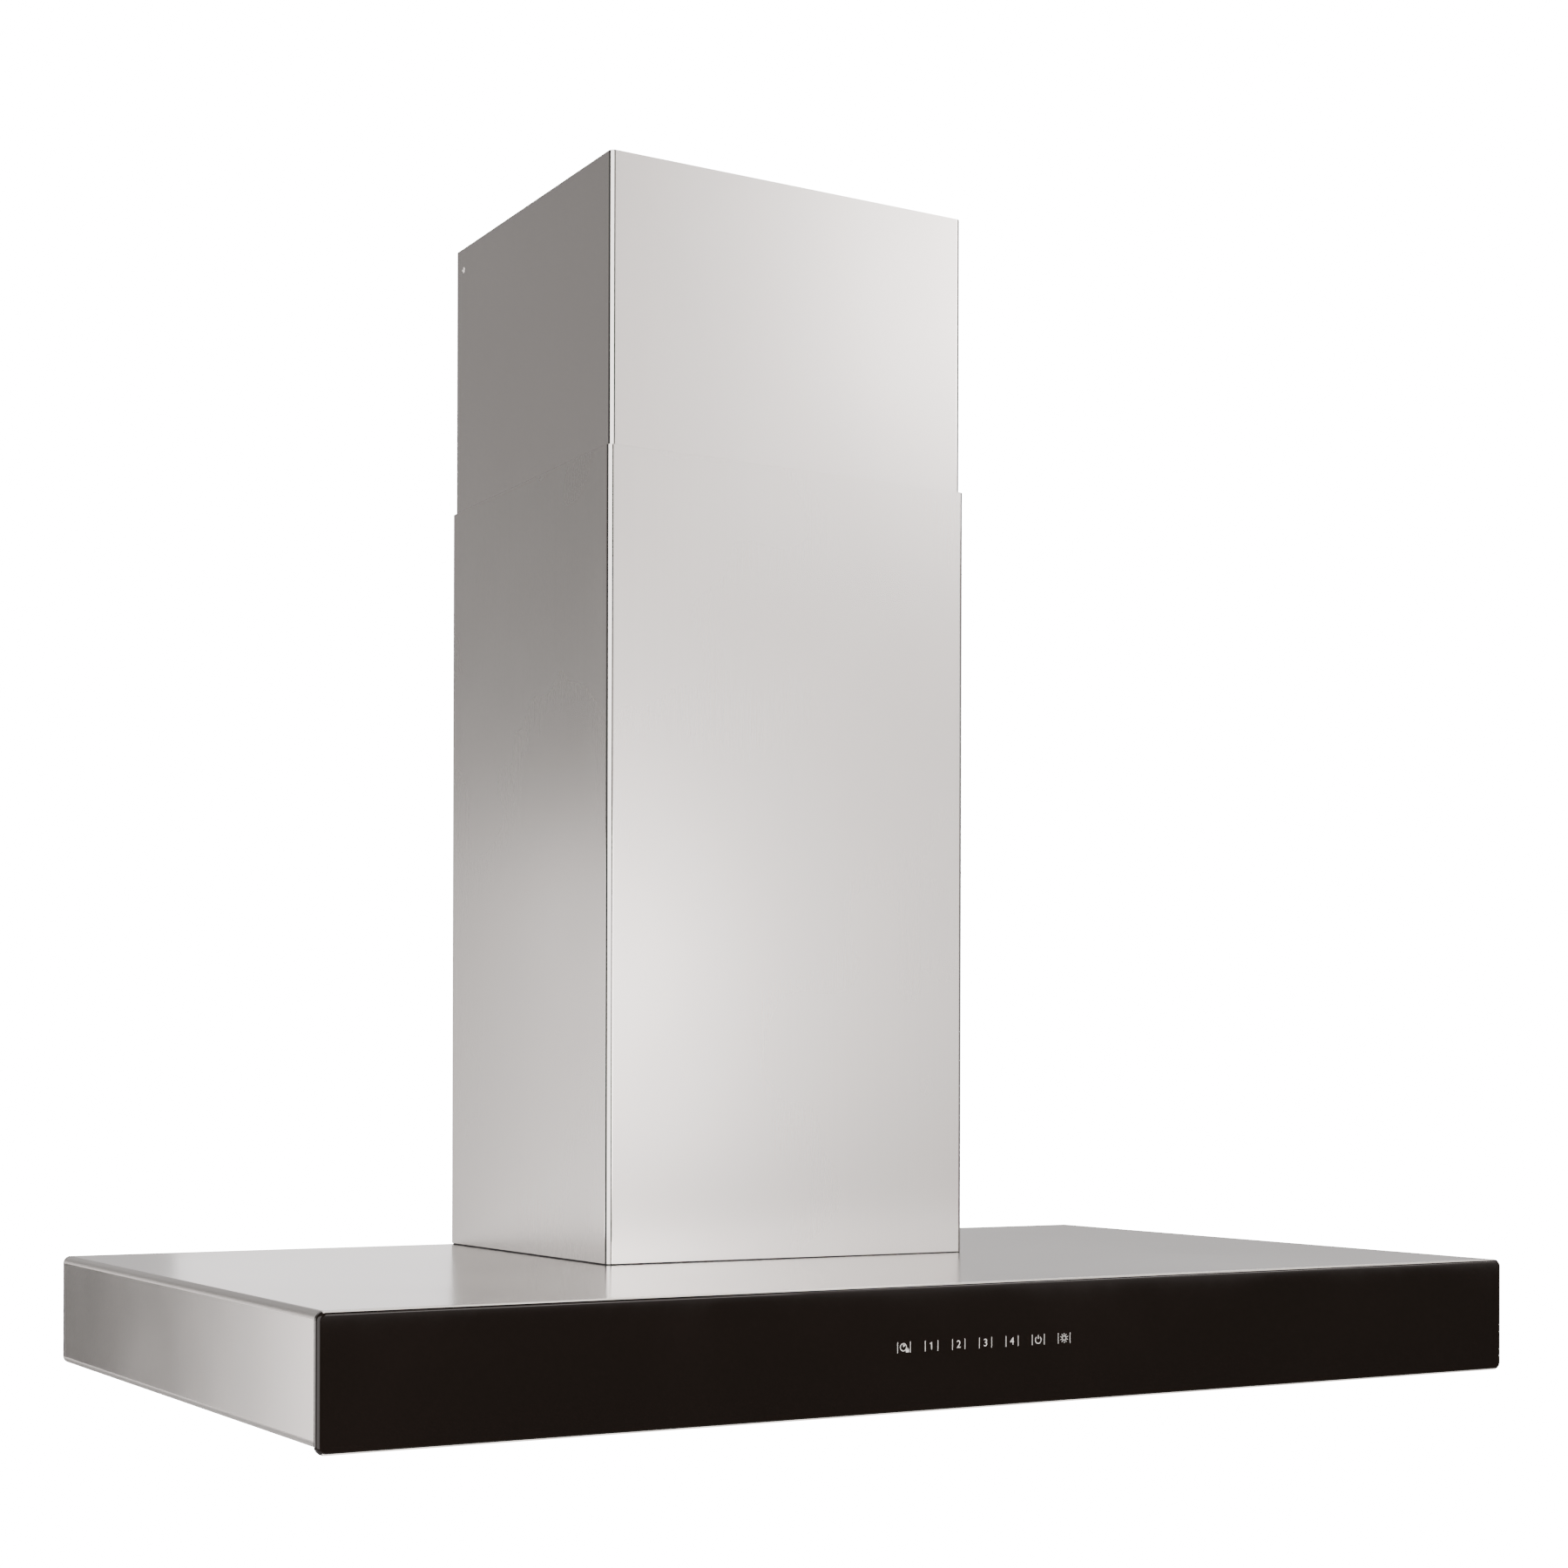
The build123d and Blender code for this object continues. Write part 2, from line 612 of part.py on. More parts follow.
def damper_flap(side):
    """Half-round flap with three knuckles; side -1 is the front one, 1 the rear one."""
    hinge_gap = KNUCKLE_RADIUS + 0.6
    disc = rod_z(FLAP_RADIUS, 0, 0, -FLAP_SHEET / 2, FLAP_SHEET / 2)
    low, high = sorted((side * hinge_gap, side * FLAP_RADIUS))
    flap = disc & block(-FLAP_RADIUS, FLAP_RADIUS, low, high, -1, 1)
    for i in (-1, 0, 1):
        x = i * 40 + side * 10
        x0 = x - KNUCKLE_LENGTH / 2
        x1 = x + KNUCKLE_LENGTH / 2
        low, high = sorted((side * 2.0, side * (hinge_gap + 1)))
        flap += block(x0, x1, low, high, -FLAP_SHEET / 2, FLAP_SHEET / 2)
        flap += rod_x(KNUCKLE_RADIUS, x0, x1, 0, 0)
    flap -= rod_x(FLAP_ROD_RADIUS + RUNNING_GAP, -FLAP_RADIUS, FLAP_RADIUS, 0, 0)
    return Pos(0, COLLAR_Y, FLAP_Z) * flap


# ---- electrics on the blower box ----

def control_box():
    z0 = BOX_TOP + PLATE
    wall = 2.0
    tray = block(-60, 60, -70, -14, z0, z0 + 33)
    return tray - block(-60 + wall, 60 - wall, -70 + wall, -14 - wall, z0 + wall, z0 + 40)


def control_lid():
    z0 = BOX_TOP + PLATE + 33
    lid = block(-61, 61, -71, -13, z0, z0 + 2)
    return lid - rod_z(8, 36, -42, z0 - 1, z0 + 3)


def terminal_block():
    z0 = BOX_TOP + PLATE + 2
    body = block(-40, 10, -52, -32, z0, z0 + 18)
    for i in range(5):
        body -= rod_z(2.2, -35 + i * 10, -42, z0 + 8, z0 + 20)
    return body


def cable_gland():
    """Gland for the supply lead in the control box's lid."""
    z0 = BOX_TOP + PLATE + 35
    gland = rod_z(7.8, 36, -42, z0 - 9, z0 + 1)
    gland += rod_z(12, 36, -42, z0, z0 + 5) + rod_z(9, 36, -42, z0 + 4, z0 + 14)
    return gland - rod_z(4, 36, -42, z0 - 10, z0 + 15)


def capacitor():
    z0 = BOX_TOP + PLATE
    return rod_z(16, 96, -42, z0, z0 + 58) + rod_z(9, 96, -42, z0 + 57, z0 + 62)


def build_nodes():
    nodes = {
        "canopy_shell": canopy_shell(),
        "front_rail": front_rail(),
        "back_panel": back_panel(),
        "underside_panel": underside_panel(),
        "canopy_screws": canopy_screws(),
        "front_glass": front_glass(),
        "glass_tape": glass_tape(),
        "touch_housing": touch_housing(),
        "touch_board": touch_board(),
        "touch_sensors": touch_sensors(),
        "led_driver": led_driver(),
        "lower_cover": lower_cover(),
        "upper_cover": upper_cover(),
        "glide_strips": glide_strips(),
        "cover_feet": cover_feet(),
        "cover_screws": cover_screws(),
        "blower_base": blower_base(),
        "blower_box": blower_box(),
        "blower_rear_cover": blower_rear_cover(),
        "blower_lid": blower_lid(),
        "blower_screws": blower_screws(),
        "guard_frame": guard_frame(),
        "guard_wires": guard_wires(),
        "scroll_wrap": scroll_wrap(),
        "scroll_side_left": scroll_side(-1),
        "scroll_side_right": scroll_side(1),
        "motor_body": motor_body(),
        "motor_bracket": motor_bracket(),
        "motor_grommets": motor_grommets(),
        "motor_shaft": motor_shaft(),
        "fan_wheel": fan_wheel(),
        "outlet_collar": outlet_collar(),
        "damper_rod": damper_rod(),
        "damper_flap_front": damper_flap(-1),
        "damper_flap_rear": damper_flap(1),
        "control_box": control_box(),
        "control_lid": control_lid(),
        "terminal_block": terminal_block(),
        "cable_gland": cable_gland(),
        "capacitor": capacitor(),
    }
    for name, x in (("left", -LAMP_X), ("right", LAMP_X)):
        nodes[f"lamp_bezel_{name}"] = lamp_bezel(x)
        nodes[f"lamp_lens_{name}"] = lamp_lens(x)
        nodes[f"lamp_body_{name}"] = lamp_body(x)
    for name, x in zip(FILTER_NAMES, FILTER_X):
        nodes[f"filter_frame_{name}"] = filter_frame(x)
        nodes[f"filter_baffles_{name}"] = filter_baffles(x)
        nodes[f"filter_handle_{name}"] = filter_handle(x)
        nodes[f"filter_latch_{name}"] = filter_latch(x)
    return nodes


os.makedirs("parts", exist_ok=True)
for node_name, shape in build_nodes().items():
    export_step(shape, f"parts/{node_name}.step")
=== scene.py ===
"""Looks of a slim wall range hood: black glass front, stainless canopy, telescoping chimney."""

import math

import bmesh
import bpy
from bpy.props import FloatProperty, FloatVectorProperty, PointerProperty
from mathutils import Matrix, Vector


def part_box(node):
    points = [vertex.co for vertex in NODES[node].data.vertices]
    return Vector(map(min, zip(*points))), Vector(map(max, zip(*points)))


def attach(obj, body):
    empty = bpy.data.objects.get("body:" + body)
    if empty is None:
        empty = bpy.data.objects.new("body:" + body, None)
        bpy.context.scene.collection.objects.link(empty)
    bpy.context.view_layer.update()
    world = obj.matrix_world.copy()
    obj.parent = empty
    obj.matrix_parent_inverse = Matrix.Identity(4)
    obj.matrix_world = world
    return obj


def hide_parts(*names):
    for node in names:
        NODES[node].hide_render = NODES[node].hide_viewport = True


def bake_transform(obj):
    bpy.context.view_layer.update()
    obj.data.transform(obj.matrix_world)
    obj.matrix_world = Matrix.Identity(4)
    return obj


bl_info = {
    "name": "Wall Range Hood",
    "version": (1, 0, 0),
    "blender": (4, 5, 0),
    "location": "View3D > Sidebar > Hood",
    "description": "Models and finishes a slim wall range hood round its packed frame",
    "category": "Add Mesh",
}

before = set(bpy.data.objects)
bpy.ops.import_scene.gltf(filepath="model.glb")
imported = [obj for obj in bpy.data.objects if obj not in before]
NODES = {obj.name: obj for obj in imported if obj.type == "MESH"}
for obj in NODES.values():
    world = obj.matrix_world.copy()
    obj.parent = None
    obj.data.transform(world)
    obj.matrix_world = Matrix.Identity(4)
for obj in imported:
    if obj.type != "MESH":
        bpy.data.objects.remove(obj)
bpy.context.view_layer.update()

MM = 0.001
OVERSHOOT = 10 * MM  # how far a cutting tool runs past what it cuts
FILTERS = ("left", "middle", "right")
SIDES = ("left", "right")
X_AXIS = Vector((1, 0, 0))
Y_AXIS = Vector((0, 1, 0))
Z_AXIS = Vector((0, 0, 1))


# ---------------------------------------------------------------- settings

def length(name, description, millimetres):
    """A length property, stored in metres."""
    return FloatProperty(name=name, description=description, default=millimetres * MM,
                         min=0.0, precision=5, subtype="DISTANCE", unit="LENGTH")


def colour(name, description, red, green, blue):
    return FloatVectorProperty(name=name, description=description, default=(red, green, blue),
                               min=0.0, max=1.0, size=3, subtype="COLOR")


class HoodSizes(bpy.types.PropertyGroup):
    """Sizes of the modelled pieces."""

    canopy_sheet: length("Canopy sheet", "Thickness of the canopy's steel", 1.0)
    canopy_bend: length("Canopy bend", "Outer radius of the canopy's folds", 5.0)
    canopy_lip: length("Canopy lip", "Width of the lip under each side", 12.0)
    cover_sheet: length("Cover sheet", "Thickness of the chimney covers' steel", 0.8)
    cover_bend: length("Cover bend", "Outer radius of the chimney's folds", 4.0)
    cover_lip: length("Cover lip", "Width of the return at the wall", 15.0)
    cover_gap: length("Cover gap", "Joint between the canopy and the lower cover", 0.8)
    cover_hole: length("Cover hole", "Radius of the upper cover's screw holes", 2.5)
    hem: length("Hem", "Rounding of a cut sheet edge", 0.2)
    glass_corner: length("Glass corner", "Radius of the glass pane's corners", 5.5)
    glass_edge: length("Glass edge", "Rounding of the glass round its front", 2.4)
    icon_pitch: length("Icon pitch", "Distance between touch icons", 20.6)
    icon_height: length("Icon height", "Height of the digits on the glass", 5.0)
    icon_line: length("Icon line", "Line width of the printed icons", 0.5)
    inlet_corner: length("Inlet corner", "Corner radius of the blower inlet", 10.0)


class HoodColours(bpy.types.PropertyGroup):
    """Colours of the finishes."""

    stainless: colour("Stainless", "Brushed stainless steel", 0.66, 0.64, 0.62)
    glass: colour("Glass", "Paint behind the front glass", 0.0088, 0.0061, 0.0049)
    # painted highlight: pale colour for the glass edge's right, top and bottom, standing in for
    # the bright lines that light draws there
    glass_edge: colour("Glass edge", "Polished edge of the glass", 0.90, 0.85, 0.80)
    icon_print: colour("Icon print", "Printed touch icons", 0.78, 0.77, 0.74)
    zinc: colour("Zinc", "Galvanised sheet", 0.50, 0.53, 0.55)
    floor: colour("Floor", "Studio floor", 0.86, 0.86, 0.86)


class HoodStage(bpy.types.PropertyGroup):
    """Camera and floor."""

    lens: FloatProperty(name="Lens", description="Focal length in millimetres", default=60.15)
    shift: FloatProperty(name="Shift", description="Vertical shift of the lens", default=0.1893)
    turn: FloatProperty(name="Turn", description="Camera's turn from the wall's normal",
                        default=math.radians(30.466), subtype="ANGLE")
    roll: FloatProperty(name="Roll", description="Camera's roll", default=math.radians(0.149),
                        subtype="ANGLE")
    camera_place: FloatVectorProperty(name="Camera place", description="Where the camera stands",
                                      default=(-0.9588, -1.8904, 0.2046), subtype="XYZ")
    floor_drop: length("Floor drop", "How far the floor lies below the canopy", 1600.0)


def hood_sizes():
    return bpy.context.scene.hood_sizes


def hood_colours():
    return bpy.context.scene.hood_colours


def hood_stage():
    return bpy.context.scene.hood_stage


# ---------------------------------------------------------------- modelling helpers

def deselect_all():
    if bpy.context.object and bpy.context.object.mode != "OBJECT":
        bpy.ops.object.mode_set(mode="OBJECT")
    bpy.ops.object.select_all(action="DESELECT")


def make_active(piece):
    deselect_all()
    piece.select_set(True)
    bpy.context.view_layer.objects.active = piece


def settle(piece):
    """Moves the object's place, turn and scale into its mesh."""
    make_active(piece)
    bpy.ops.object.transform_apply(location=True, rotation=True, scale=True)
    return piece


def named(name):
    """Names the object that was added last."""
    piece = bpy.context.object
    piece.name = name
    piece.data.name = name
    return piece


def centre_of(node):
    """Middle of a frame node's box."""
    return tuple((low + high) / 2 for low, high in zip(*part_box(node)))


def add_block(name, low, high):
    """A box between two corners."""
    deselect_all()
    low, high = Vector(low), Vector(high)
    bpy.ops.mesh.primitive_cube_add(size=1, location=(low + high) / 2)
    piece = named(name)
    piece.scale = high - low
    return settle(piece)


def add_rod(name, radius, start, end, sides):
    """A closed cylinder between two points."""
    deselect_all()
    start, end = Vector(start), Vector(end)
    bpy.ops.mesh.primitive_cylinder_add(vertices=sides, radius=radius, depth=(end - start).length,
                                        location=(start + end) / 2)
    piece = named(name)
    piece.rotation_euler = (end - start).to_track_quat("Z", "Y").to_euler()
    return settle(piece)


def post(name, radius, place, bottom, top, sides):
    """An upright rod about a place, given as x and y."""
    return add_rod(name, radius, (*place, bottom), (*place, top), sides)


def pick(piece, kind, test):
    """Enters edit mode and selects the faces, edges or vertices that pass the test."""
    make_active(piece)
    bpy.ops.object.mode_set(mode="EDIT")
    bpy.ops.mesh.select_mode(type=kind)
    bpy.ops.mesh.select_all(action="DESELECT")
    work = bmesh.from_edit_mesh(piece.data)
    parts = {"FACE": work.faces, "EDGE": work.edges, "VERT": work.verts}[kind]
    for part in [part for part in parts if test(part)]:
        part.select_set(True)
    work.select_flush_mode()
    bmesh.update_edit_mesh(piece.data)


def done_editing():
    bpy.ops.object.mode_set(mode="OBJECT")


def middle(edge):
    """Midpoint of an edge."""
    return (edge.verts[0].co + edge.verts[1].co) / 2


def along(edge, axis):
    """True if the edge runs along the axis."""
    line = edge.verts[1].co - edge.verts[0].co
    return abs(line.normalized().dot(axis)) > 0.999


def near(a, b):
    """True if two coordinates differ by less than a hair."""
    return abs(a - b) < 0.02 * MM


def modify(piece, kind, **values):
    """Adds a modifier, sets it and applies it."""
    modifier = piece.modifiers.new(kind.title(), kind)
    for key, value in values.items():
        setattr(modifier, key, value)
    make_active(piece)
    bpy.ops.object.modifier_apply(modifier=modifier.name)
    return piece


def cut(piece, *tools):
    """Takes the tools' shapes out of the piece."""
    for tool in tools:
        modify(piece, "BOOLEAN", operation="DIFFERENCE", solver="EXACT", object=tool)
        bpy.data.objects.remove(tool)
    return piece


def merge(name, pieces):
    """Joins several pieces into one."""
    deselect_all()
    for piece in pieces:
        piece.select_set(True)
    bpy.context.view_layer.objects.active = pieces[0]
    if len(pieces) > 1:
        bpy.ops.object.join()
    return named(name)


def smooth(piece, angle):
    """Shades the piece smooth but for edges sharper than the angle, in degrees."""
    make_active(piece)
    bpy.ops.object.shade_smooth_by_angle(angle=math.radians(angle))
    return piece


def round_edges(piece, width, segments=2, angle=60):
    """Rounds every edge sharper than the angle, in degrees."""
    return modify(piece, "BEVEL", width=width, segments=segments, limit_method="ANGLE",
                  angle_limit=math.radians(angle))


def bevel_edges(piece, test, offset, segments):
    """Rounds the edges that pass the test."""
    pick(piece, "EDGE", test)
    bpy.ops.mesh.bevel(offset=offset, segments=segments, affect="EDGES")
    done_editing()


def soften(piece, width, segments=2):
    """Rounds every clear edge, then shades the piece with flat faces kept flat."""
    round_edges(piece, width, segments, 40)
    return even_shading(piece)


def even_shading(piece, angle=35.0):
    """Shades rounded edges smooth and leaves the faces beside them flat."""
    smooth(piece, angle)
    return modify(piece, "WEIGHTED_NORMAL", keep_sharp=True, weight=90)


def copy_piece(piece, matrix):
    """A copy with its own mesh, moved by a matrix."""
    twin = bpy.data.objects.new(piece.name, piece.data.copy())
    bpy.context.scene.collection.objects.link(twin)
    twin.data.transform(matrix)
    return twin


def turned_about(point, axis, angle):
    """A turn about an axis through a point."""
    place = Matrix.Translation(Vector(point))
    return place @ Matrix.Rotation(angle, 4, axis) @ place.inverted()


def around(model, count, point, axis):
    """Copies of a model in a ring about an axis through a point, in the model's stead."""
    copies = []
    for i in range(count):
        copies.append(copy_piece(model, turned_about(point, axis, 2 * math.pi * i / count)))
    bpy.data.objects.remove(model)
    return copies


def fit_out(piece, body, slot_name, material, *replaced):
    """Paints a finished piece, ties it to its body and lets it stand for CAD nodes."""
    piece.data.materials.clear()
    piece.data.materials.append(material)
    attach(piece, body)
    if replaced:
        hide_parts(*replaced)


# ---------------------------------------------------------------- shading helpers

def new_group(name, inputs, outputs):
    """An empty shader node group with the named sockets."""
    group = bpy.data.node_groups.new(name, "ShaderNodeTree")
    for socket, kind, value in inputs:
        made = group.interface.new_socket(name=socket, in_out="INPUT", socket_type=kind)
        if value is not None:
            made.default_value = value
    for socket, kind in outputs:
        group.interface.new_socket(name=socket, in_out="OUTPUT", socket_type=kind)
    return group, group.nodes.new("NodeGroupInput"), group.nodes.new("NodeGroupOutput")


def wire(tree, source, target):
    tree.links.new(source, target)


def noise(tree, vector, scale, detail, roughness=0.5):
    node = tree.nodes.new("ShaderNodeTexNoise")
    node.inputs["Scale"].default_value = scale
    node.inputs["Detail"].default_value = detail
    node.inputs["Roughness"].default_value = roughness
    wire(tree, vector, node.inputs["Vector"])
    return node.outputs["Fac"]


def spread(tree, value, low, high, from_low=0.3, from_high=0.7):
    """Maps a value's usual range onto low to high."""
    node = tree.nodes.new("ShaderNodeMapRange")
    node.inputs["From Min"].default_value = from_low
    node.inputs["From Max"].default_value = from_high
    for socket, bound in (("To Min", low), ("To Max", high)):
        if hasattr(bound, "links"):
            wire(tree, bound, node.inputs[socket])
        else:
            node.inputs[socket].default_value = bound
    wire(tree, value, node.inputs["Value"])
    return node.outputs["Result"]


def scaled(tree, vector, factors):
    """A vector stretched along each axis."""
    node = tree.nodes.new("ShaderNodeVectorMath")
    node.operation = "MULTIPLY"
    wire(tree, vector, node.inputs[0])
    wire(tree, factors, node.inputs[1])
    return node.outputs["Vector"]


def sum_of(tree, first, second, weight):
    """first + second * weight."""
    node = tree.nodes.new("ShaderNodeMath")
    node.operation = "MULTIPLY_ADD"
    wire(tree, second, node.inputs[0])
    node.inputs[1].default_value = weight
    wire(tree, first, node.inputs[2])
    return node.outputs["Value"]


def shade_mix(tree, factor, first, second):
    """Colour between two colours, each a socket or a plain colour."""
    node = tree.nodes.new("ShaderNodeMix")
    node.data_type = "RGBA"
    wire(tree, factor, node.inputs["Factor"])
    for socket, value in ((node.inputs[6], first), (node.inputs[7], second)):
        if hasattr(value, "links"):
            wire(tree, value, socket)
        else:
            socket.default_value = (*value, 1.0)
    return node.outputs[2]


def brushed_grain():
    """Brush lines: a fine height, a tone and a roughness value, all stretched one way."""
    if "Brushed grain" in bpy.data.node_groups:
        return bpy.data.node_groups["Brushed grain"]
    group, source, result = new_group(
        "Brushed grain",
        (("Vector", "NodeSocketVector", None), ("Stretch", "NodeSocketVector", (40, 3000, 3000)),
         ("Roughness", "NodeSocketFloat", 0.3), ("Spread", "NodeSocketFloat", 0.08)),
        (("Height", "NodeSocketFloat"), ("Tone", "NodeSocketFloat"),
         ("Roughness", "NodeSocketFloat")))
    lines = scaled(group, source.outputs["Vector"], source.outputs["Stretch"])
    fine = noise(group, lines, 1.0, 4.0, 0.7)
    coarse = noise(group, lines, 0.22, 2.0, 0.6)
    cloud = noise(group, source.outputs["Vector"], 3.5, 3.0, 0.5)
    wire(group, sum_of(group, fine, coarse, 0.6), result.inputs["Height"])
    wire(group, spread(group, sum_of(group, coarse, cloud, 0.5), 0.0, 1.0, 0.45, 1.05),
         result.inputs["Tone"])
    rough = spread(group, fine, source.outputs["Roughness"], source.outputs["Spread"], 0.5, 1.5)
    change = spread(group, cloud, -0.03, 0.03)
    wire(group, sum_of(group, rough, change, 1.0), result.inputs["Roughness"])
    return group


def handling_marks():
    """Faint smears and dust that vary a surface's roughness and colour."""
    if "Handling marks" in bpy.data.node_groups:
        return bpy.data.node_groups["Handling marks"]
    group, source, result = new_group(
        "Handling marks",
        (("Vector", "NodeSocketVector", None), ("Scale", "NodeSocketFloat", 8.0)),
        (("Mask", "NodeSocketFloat"),))
    node = group.nodes.new("ShaderNodeTexNoise")
    node.inputs["Detail"].default_value = 5.0
    node.inputs["Roughness"].default_value = 0.62
    node.inputs["Distortion"].default_value = 0.6
    wire(group, source.outputs["Vector"], node.inputs["Vector"])
    wire(group, source.outputs["Scale"], node.inputs["Scale"])
    wire(group, spread(group, node.outputs["Fac"], 0.0, 1.0, 0.45, 0.75), result.inputs["Mask"])
    return group


def zinc_spangle():
    """Crystals of galvanised sheet: a tone for each crystal and a soft height."""
    if "Zinc spangle" in bpy.data.node_groups:
        return bpy.data.node_groups["Zinc spangle"]
    group, source, result = new_group(
        "Zinc spangle",
        (("Vector", "NodeSocketVector", None), ("Scale", "NodeSocketFloat", 140.0)),
        (("Tone", "NodeSocketFloat"), ("Height", "NodeSocketFloat")))
    cells = group.nodes.new("ShaderNodeTexVoronoi")
    cells.inputs["Randomness"].default_value = 1.0
    wire(group, source.outputs["Vector"], cells.inputs["Vector"])
    wire(group, source.outputs["Scale"], cells.inputs["Scale"])
    split = group.nodes.new("ShaderNodeSeparateColor")
    wire(group, cells.outputs["Color"], split.inputs["Color"])
    fine = noise(group, source.outputs["Vector"], 900.0, 2.0)
    wire(group, sum_of(group, split.outputs["Red"], fine, 0.3), result.inputs["Tone"])
    wire(group, sum_of(group, split.outputs["Green"], fine, 0.5), result.inputs["Height"])
    return group


def new_material(name):
    """A material with its Principled shader, and the object coordinates to pattern it by."""
    material = bpy.data.materials.new(name)
    material.use_nodes = True
    tree = material.node_tree
    shader = tree.nodes["Principled BSDF"]
    place = tree.nodes.new("ShaderNodeTexCoord").outputs["Object"]
    return material, tree, shader, place


def use_group(tree, group, place, **values):
    """A node group placed by object coordinates, with its inputs set."""
    node = tree.nodes.new("ShaderNodeGroup")
    node.node_tree = group
    wire(tree, place, node.inputs["Vector"])
    for key, value in values.items():
        node.inputs[key.title()].default_value = value
    return node


def add_bump(tree, shader, height, strength, distance):
    bump = tree.nodes.new("ShaderNodeBump")
    bump.inputs["Strength"].default_value = strength
    bump.inputs["Distance"].default_value = distance
    wire(tree, height, bump.inputs["Height"])
    wire(tree, bump.outputs["Normal"], shader.inputs["Normal"])


def tinted(base, factor):
    """A colour made darker or lighter."""
    return tuple(min(1.0, channel * factor) for channel in base)


def brushed_steel(name, base, stretch, roughness, bump, contrast=0.05):
    """Stainless steel brushed one way."""
    if name in bpy.data.materials:
        return bpy.data.materials[name]
    material, tree, shader, place = new_material(name)
    grain = use_group(tree, brushed_grain(), place, stretch=stretch, roughness=roughness,
                      spread=roughness + 0.05)
    shader.inputs["Metallic"].default_value = 1.0
    tone = shade_mix(tree, grain.outputs["Tone"], tinted(base, 1 - contrast),
                     tinted(base, 1 + contrast))
    wire(tree, tone, shader.inputs["Base Color"])
    wire(tree, grain.outputs["Roughness"], shader.inputs["Roughness"])
    add_bump(tree, shader, grain.outputs["Height"], bump, 0.00005)
    return material


def galvanised():
    """Zinc-coated sheet with its crystal pattern."""
    name = "Galvanised sheet"
    if name in bpy.data.materials:
        return bpy.data.materials[name]
    base = hood_colours().zinc
    material, tree, shader, place = new_material(name)
    crystals = use_group(tree, zinc_spangle(), place, scale=110.0)
    shader.inputs["Metallic"].default_value = 1.0
    tone = shade_mix(tree, crystals.outputs["Tone"], tinted(base, 0.82), tinted(base, 1.15))
    wire(tree, tone, shader.inputs["Base Color"])
    wire(tree, spread(tree, crystals.outputs["Tone"], 0.30, 0.48, 0.0, 1.2),
         shader.inputs["Roughness"])
    add_bump(tree, shader, crystals.outputs["Height"], 0.08, 0.0002)
    return material


def handled(name, mark_scale, clean, marked, roughness, marked_roughness):
    """A material whose colour and roughness change where it was handled, and its shader."""
    material, tree, shader, place = new_material(name)
    marks = use_group(tree, handling_marks(), place, scale=mark_scale).outputs["Mask"]
    wire(tree, shade_mix(tree, marks, clean, marked), shader.inputs["Base Color"])
    wire(tree, spread(tree, marks, roughness, marked_roughness, 0.0, 1.0),
         shader.inputs["Roughness"])
    return material, shader


def plain_metal(name, base, roughness, mark_scale=30.0):
    """Turned, drawn or plated metal with faint handling marks."""
    if name in bpy.data.materials:
        return bpy.data.materials[name]
    material, shader = handled(name, mark_scale, base, tinted(base, 0.88),
                               roughness, roughness + 0.12)
    shader.inputs["Metallic"].default_value = 1.0
    return material


def moulded_plastic(name, base, roughness, grain=900.0):
    """Moulded plastic or rubber with a fine spark-eroded texture."""
    if name in bpy.data.materials:
        return bpy.data.materials[name]
    material, shader = handled(name, 25.0, base, tinted(base, 1.18), roughness, roughness + 0.1)
    tree = material.node_tree
    place = tree.nodes["Texture Coordinate"].outputs["Object"]
    add_bump(tree, shader, noise(tree, place, grain, 2.0), 0.12, 0.0001)
    return material


def black_glass():
    """Back-painted glass: near black, with a clear polished surface."""
    base = hood_colours().glass
    material, shader = handled("Black glass", 6.0, base, tinted(base, 1.12), 0.03, 0.07)
    shader.inputs["IOR"].default_value = 1.5
    shader.inputs["Specular IOR Level"].default_value = 0.28
    return material


def glass_edge():
    """Polished edge of the pane with a painted highlight: its pale colour and glow stand in for
    the bright lines that light draws along the pane's right, top and bottom.
    """
    base = hood_colours().glass_edge
    material, shader = handled("Polished glass edge", 60.0, base, tinted(base, 0.9), 0.2, 0.3)
    shader.inputs["Metallic"].default_value = 0.85
    # painted highlight: the edge glows though it is no lamp
    shader.inputs["Emission Color"].default_value = (1.0, 0.93, 0.85, 1)
    shader.inputs["Emission Strength"].default_value = 0.8
    return material


def icon_print():
    """Pale screen print with a fine grain."""
    base = hood_colours().icon_print
    material, tree, shader, place = new_material("Icon print")
    wire(tree, shade_mix(tree, noise(tree, place, 4000.0, 2.0), tinted(base, 0.92), base),
         shader.inputs["Base Color"])
    shader.inputs["Roughness"].default_value = 0.35
    return material


# How much the brush lines are packed along x, y and z: few along the brush, many across it.
BRUSHED_ALONG_X = (14, 2600, 2600)
BRUSHED_ALONG_Y = (2600, 14, 2600)
BRUSHED_ALONG_Z = (2600, 2600, 14)


def canopy_steel():
    return brushed_steel("Canopy steel", hood_colours().stainless, BRUSHED_ALONG_X,
                         0.19, 0.012, 0.015)


def canopy_fold_steel():
    """Steel left matt by the press along the canopy's folds."""
    return brushed_steel("Canopy fold steel", hood_colours().stainless, BRUSHED_ALONG_Y,
                         0.40, 0.015, 0.015)


def cover_steel():
    return brushed_steel("Chimney steel", hood_colours().stainless, BRUSHED_ALONG_Z,
                         0.27, 0.008, 0.012)


def upper_cover_steel():
    return brushed_steel("Upper chimney steel", tinted(hood_colours().stainless, 1.05),
                         BRUSHED_ALONG_Z, 0.25, 0.008, 0.012)


def fold_steel():
    """Steel drawn smooth over a chimney fold."""
    return brushed_steel("Fold steel", hood_colours().stainless, BRUSHED_ALONG_Z,
                         0.09, 0.004, 0.01)


# ---------------------------------------------------------------- folded sheet pieces

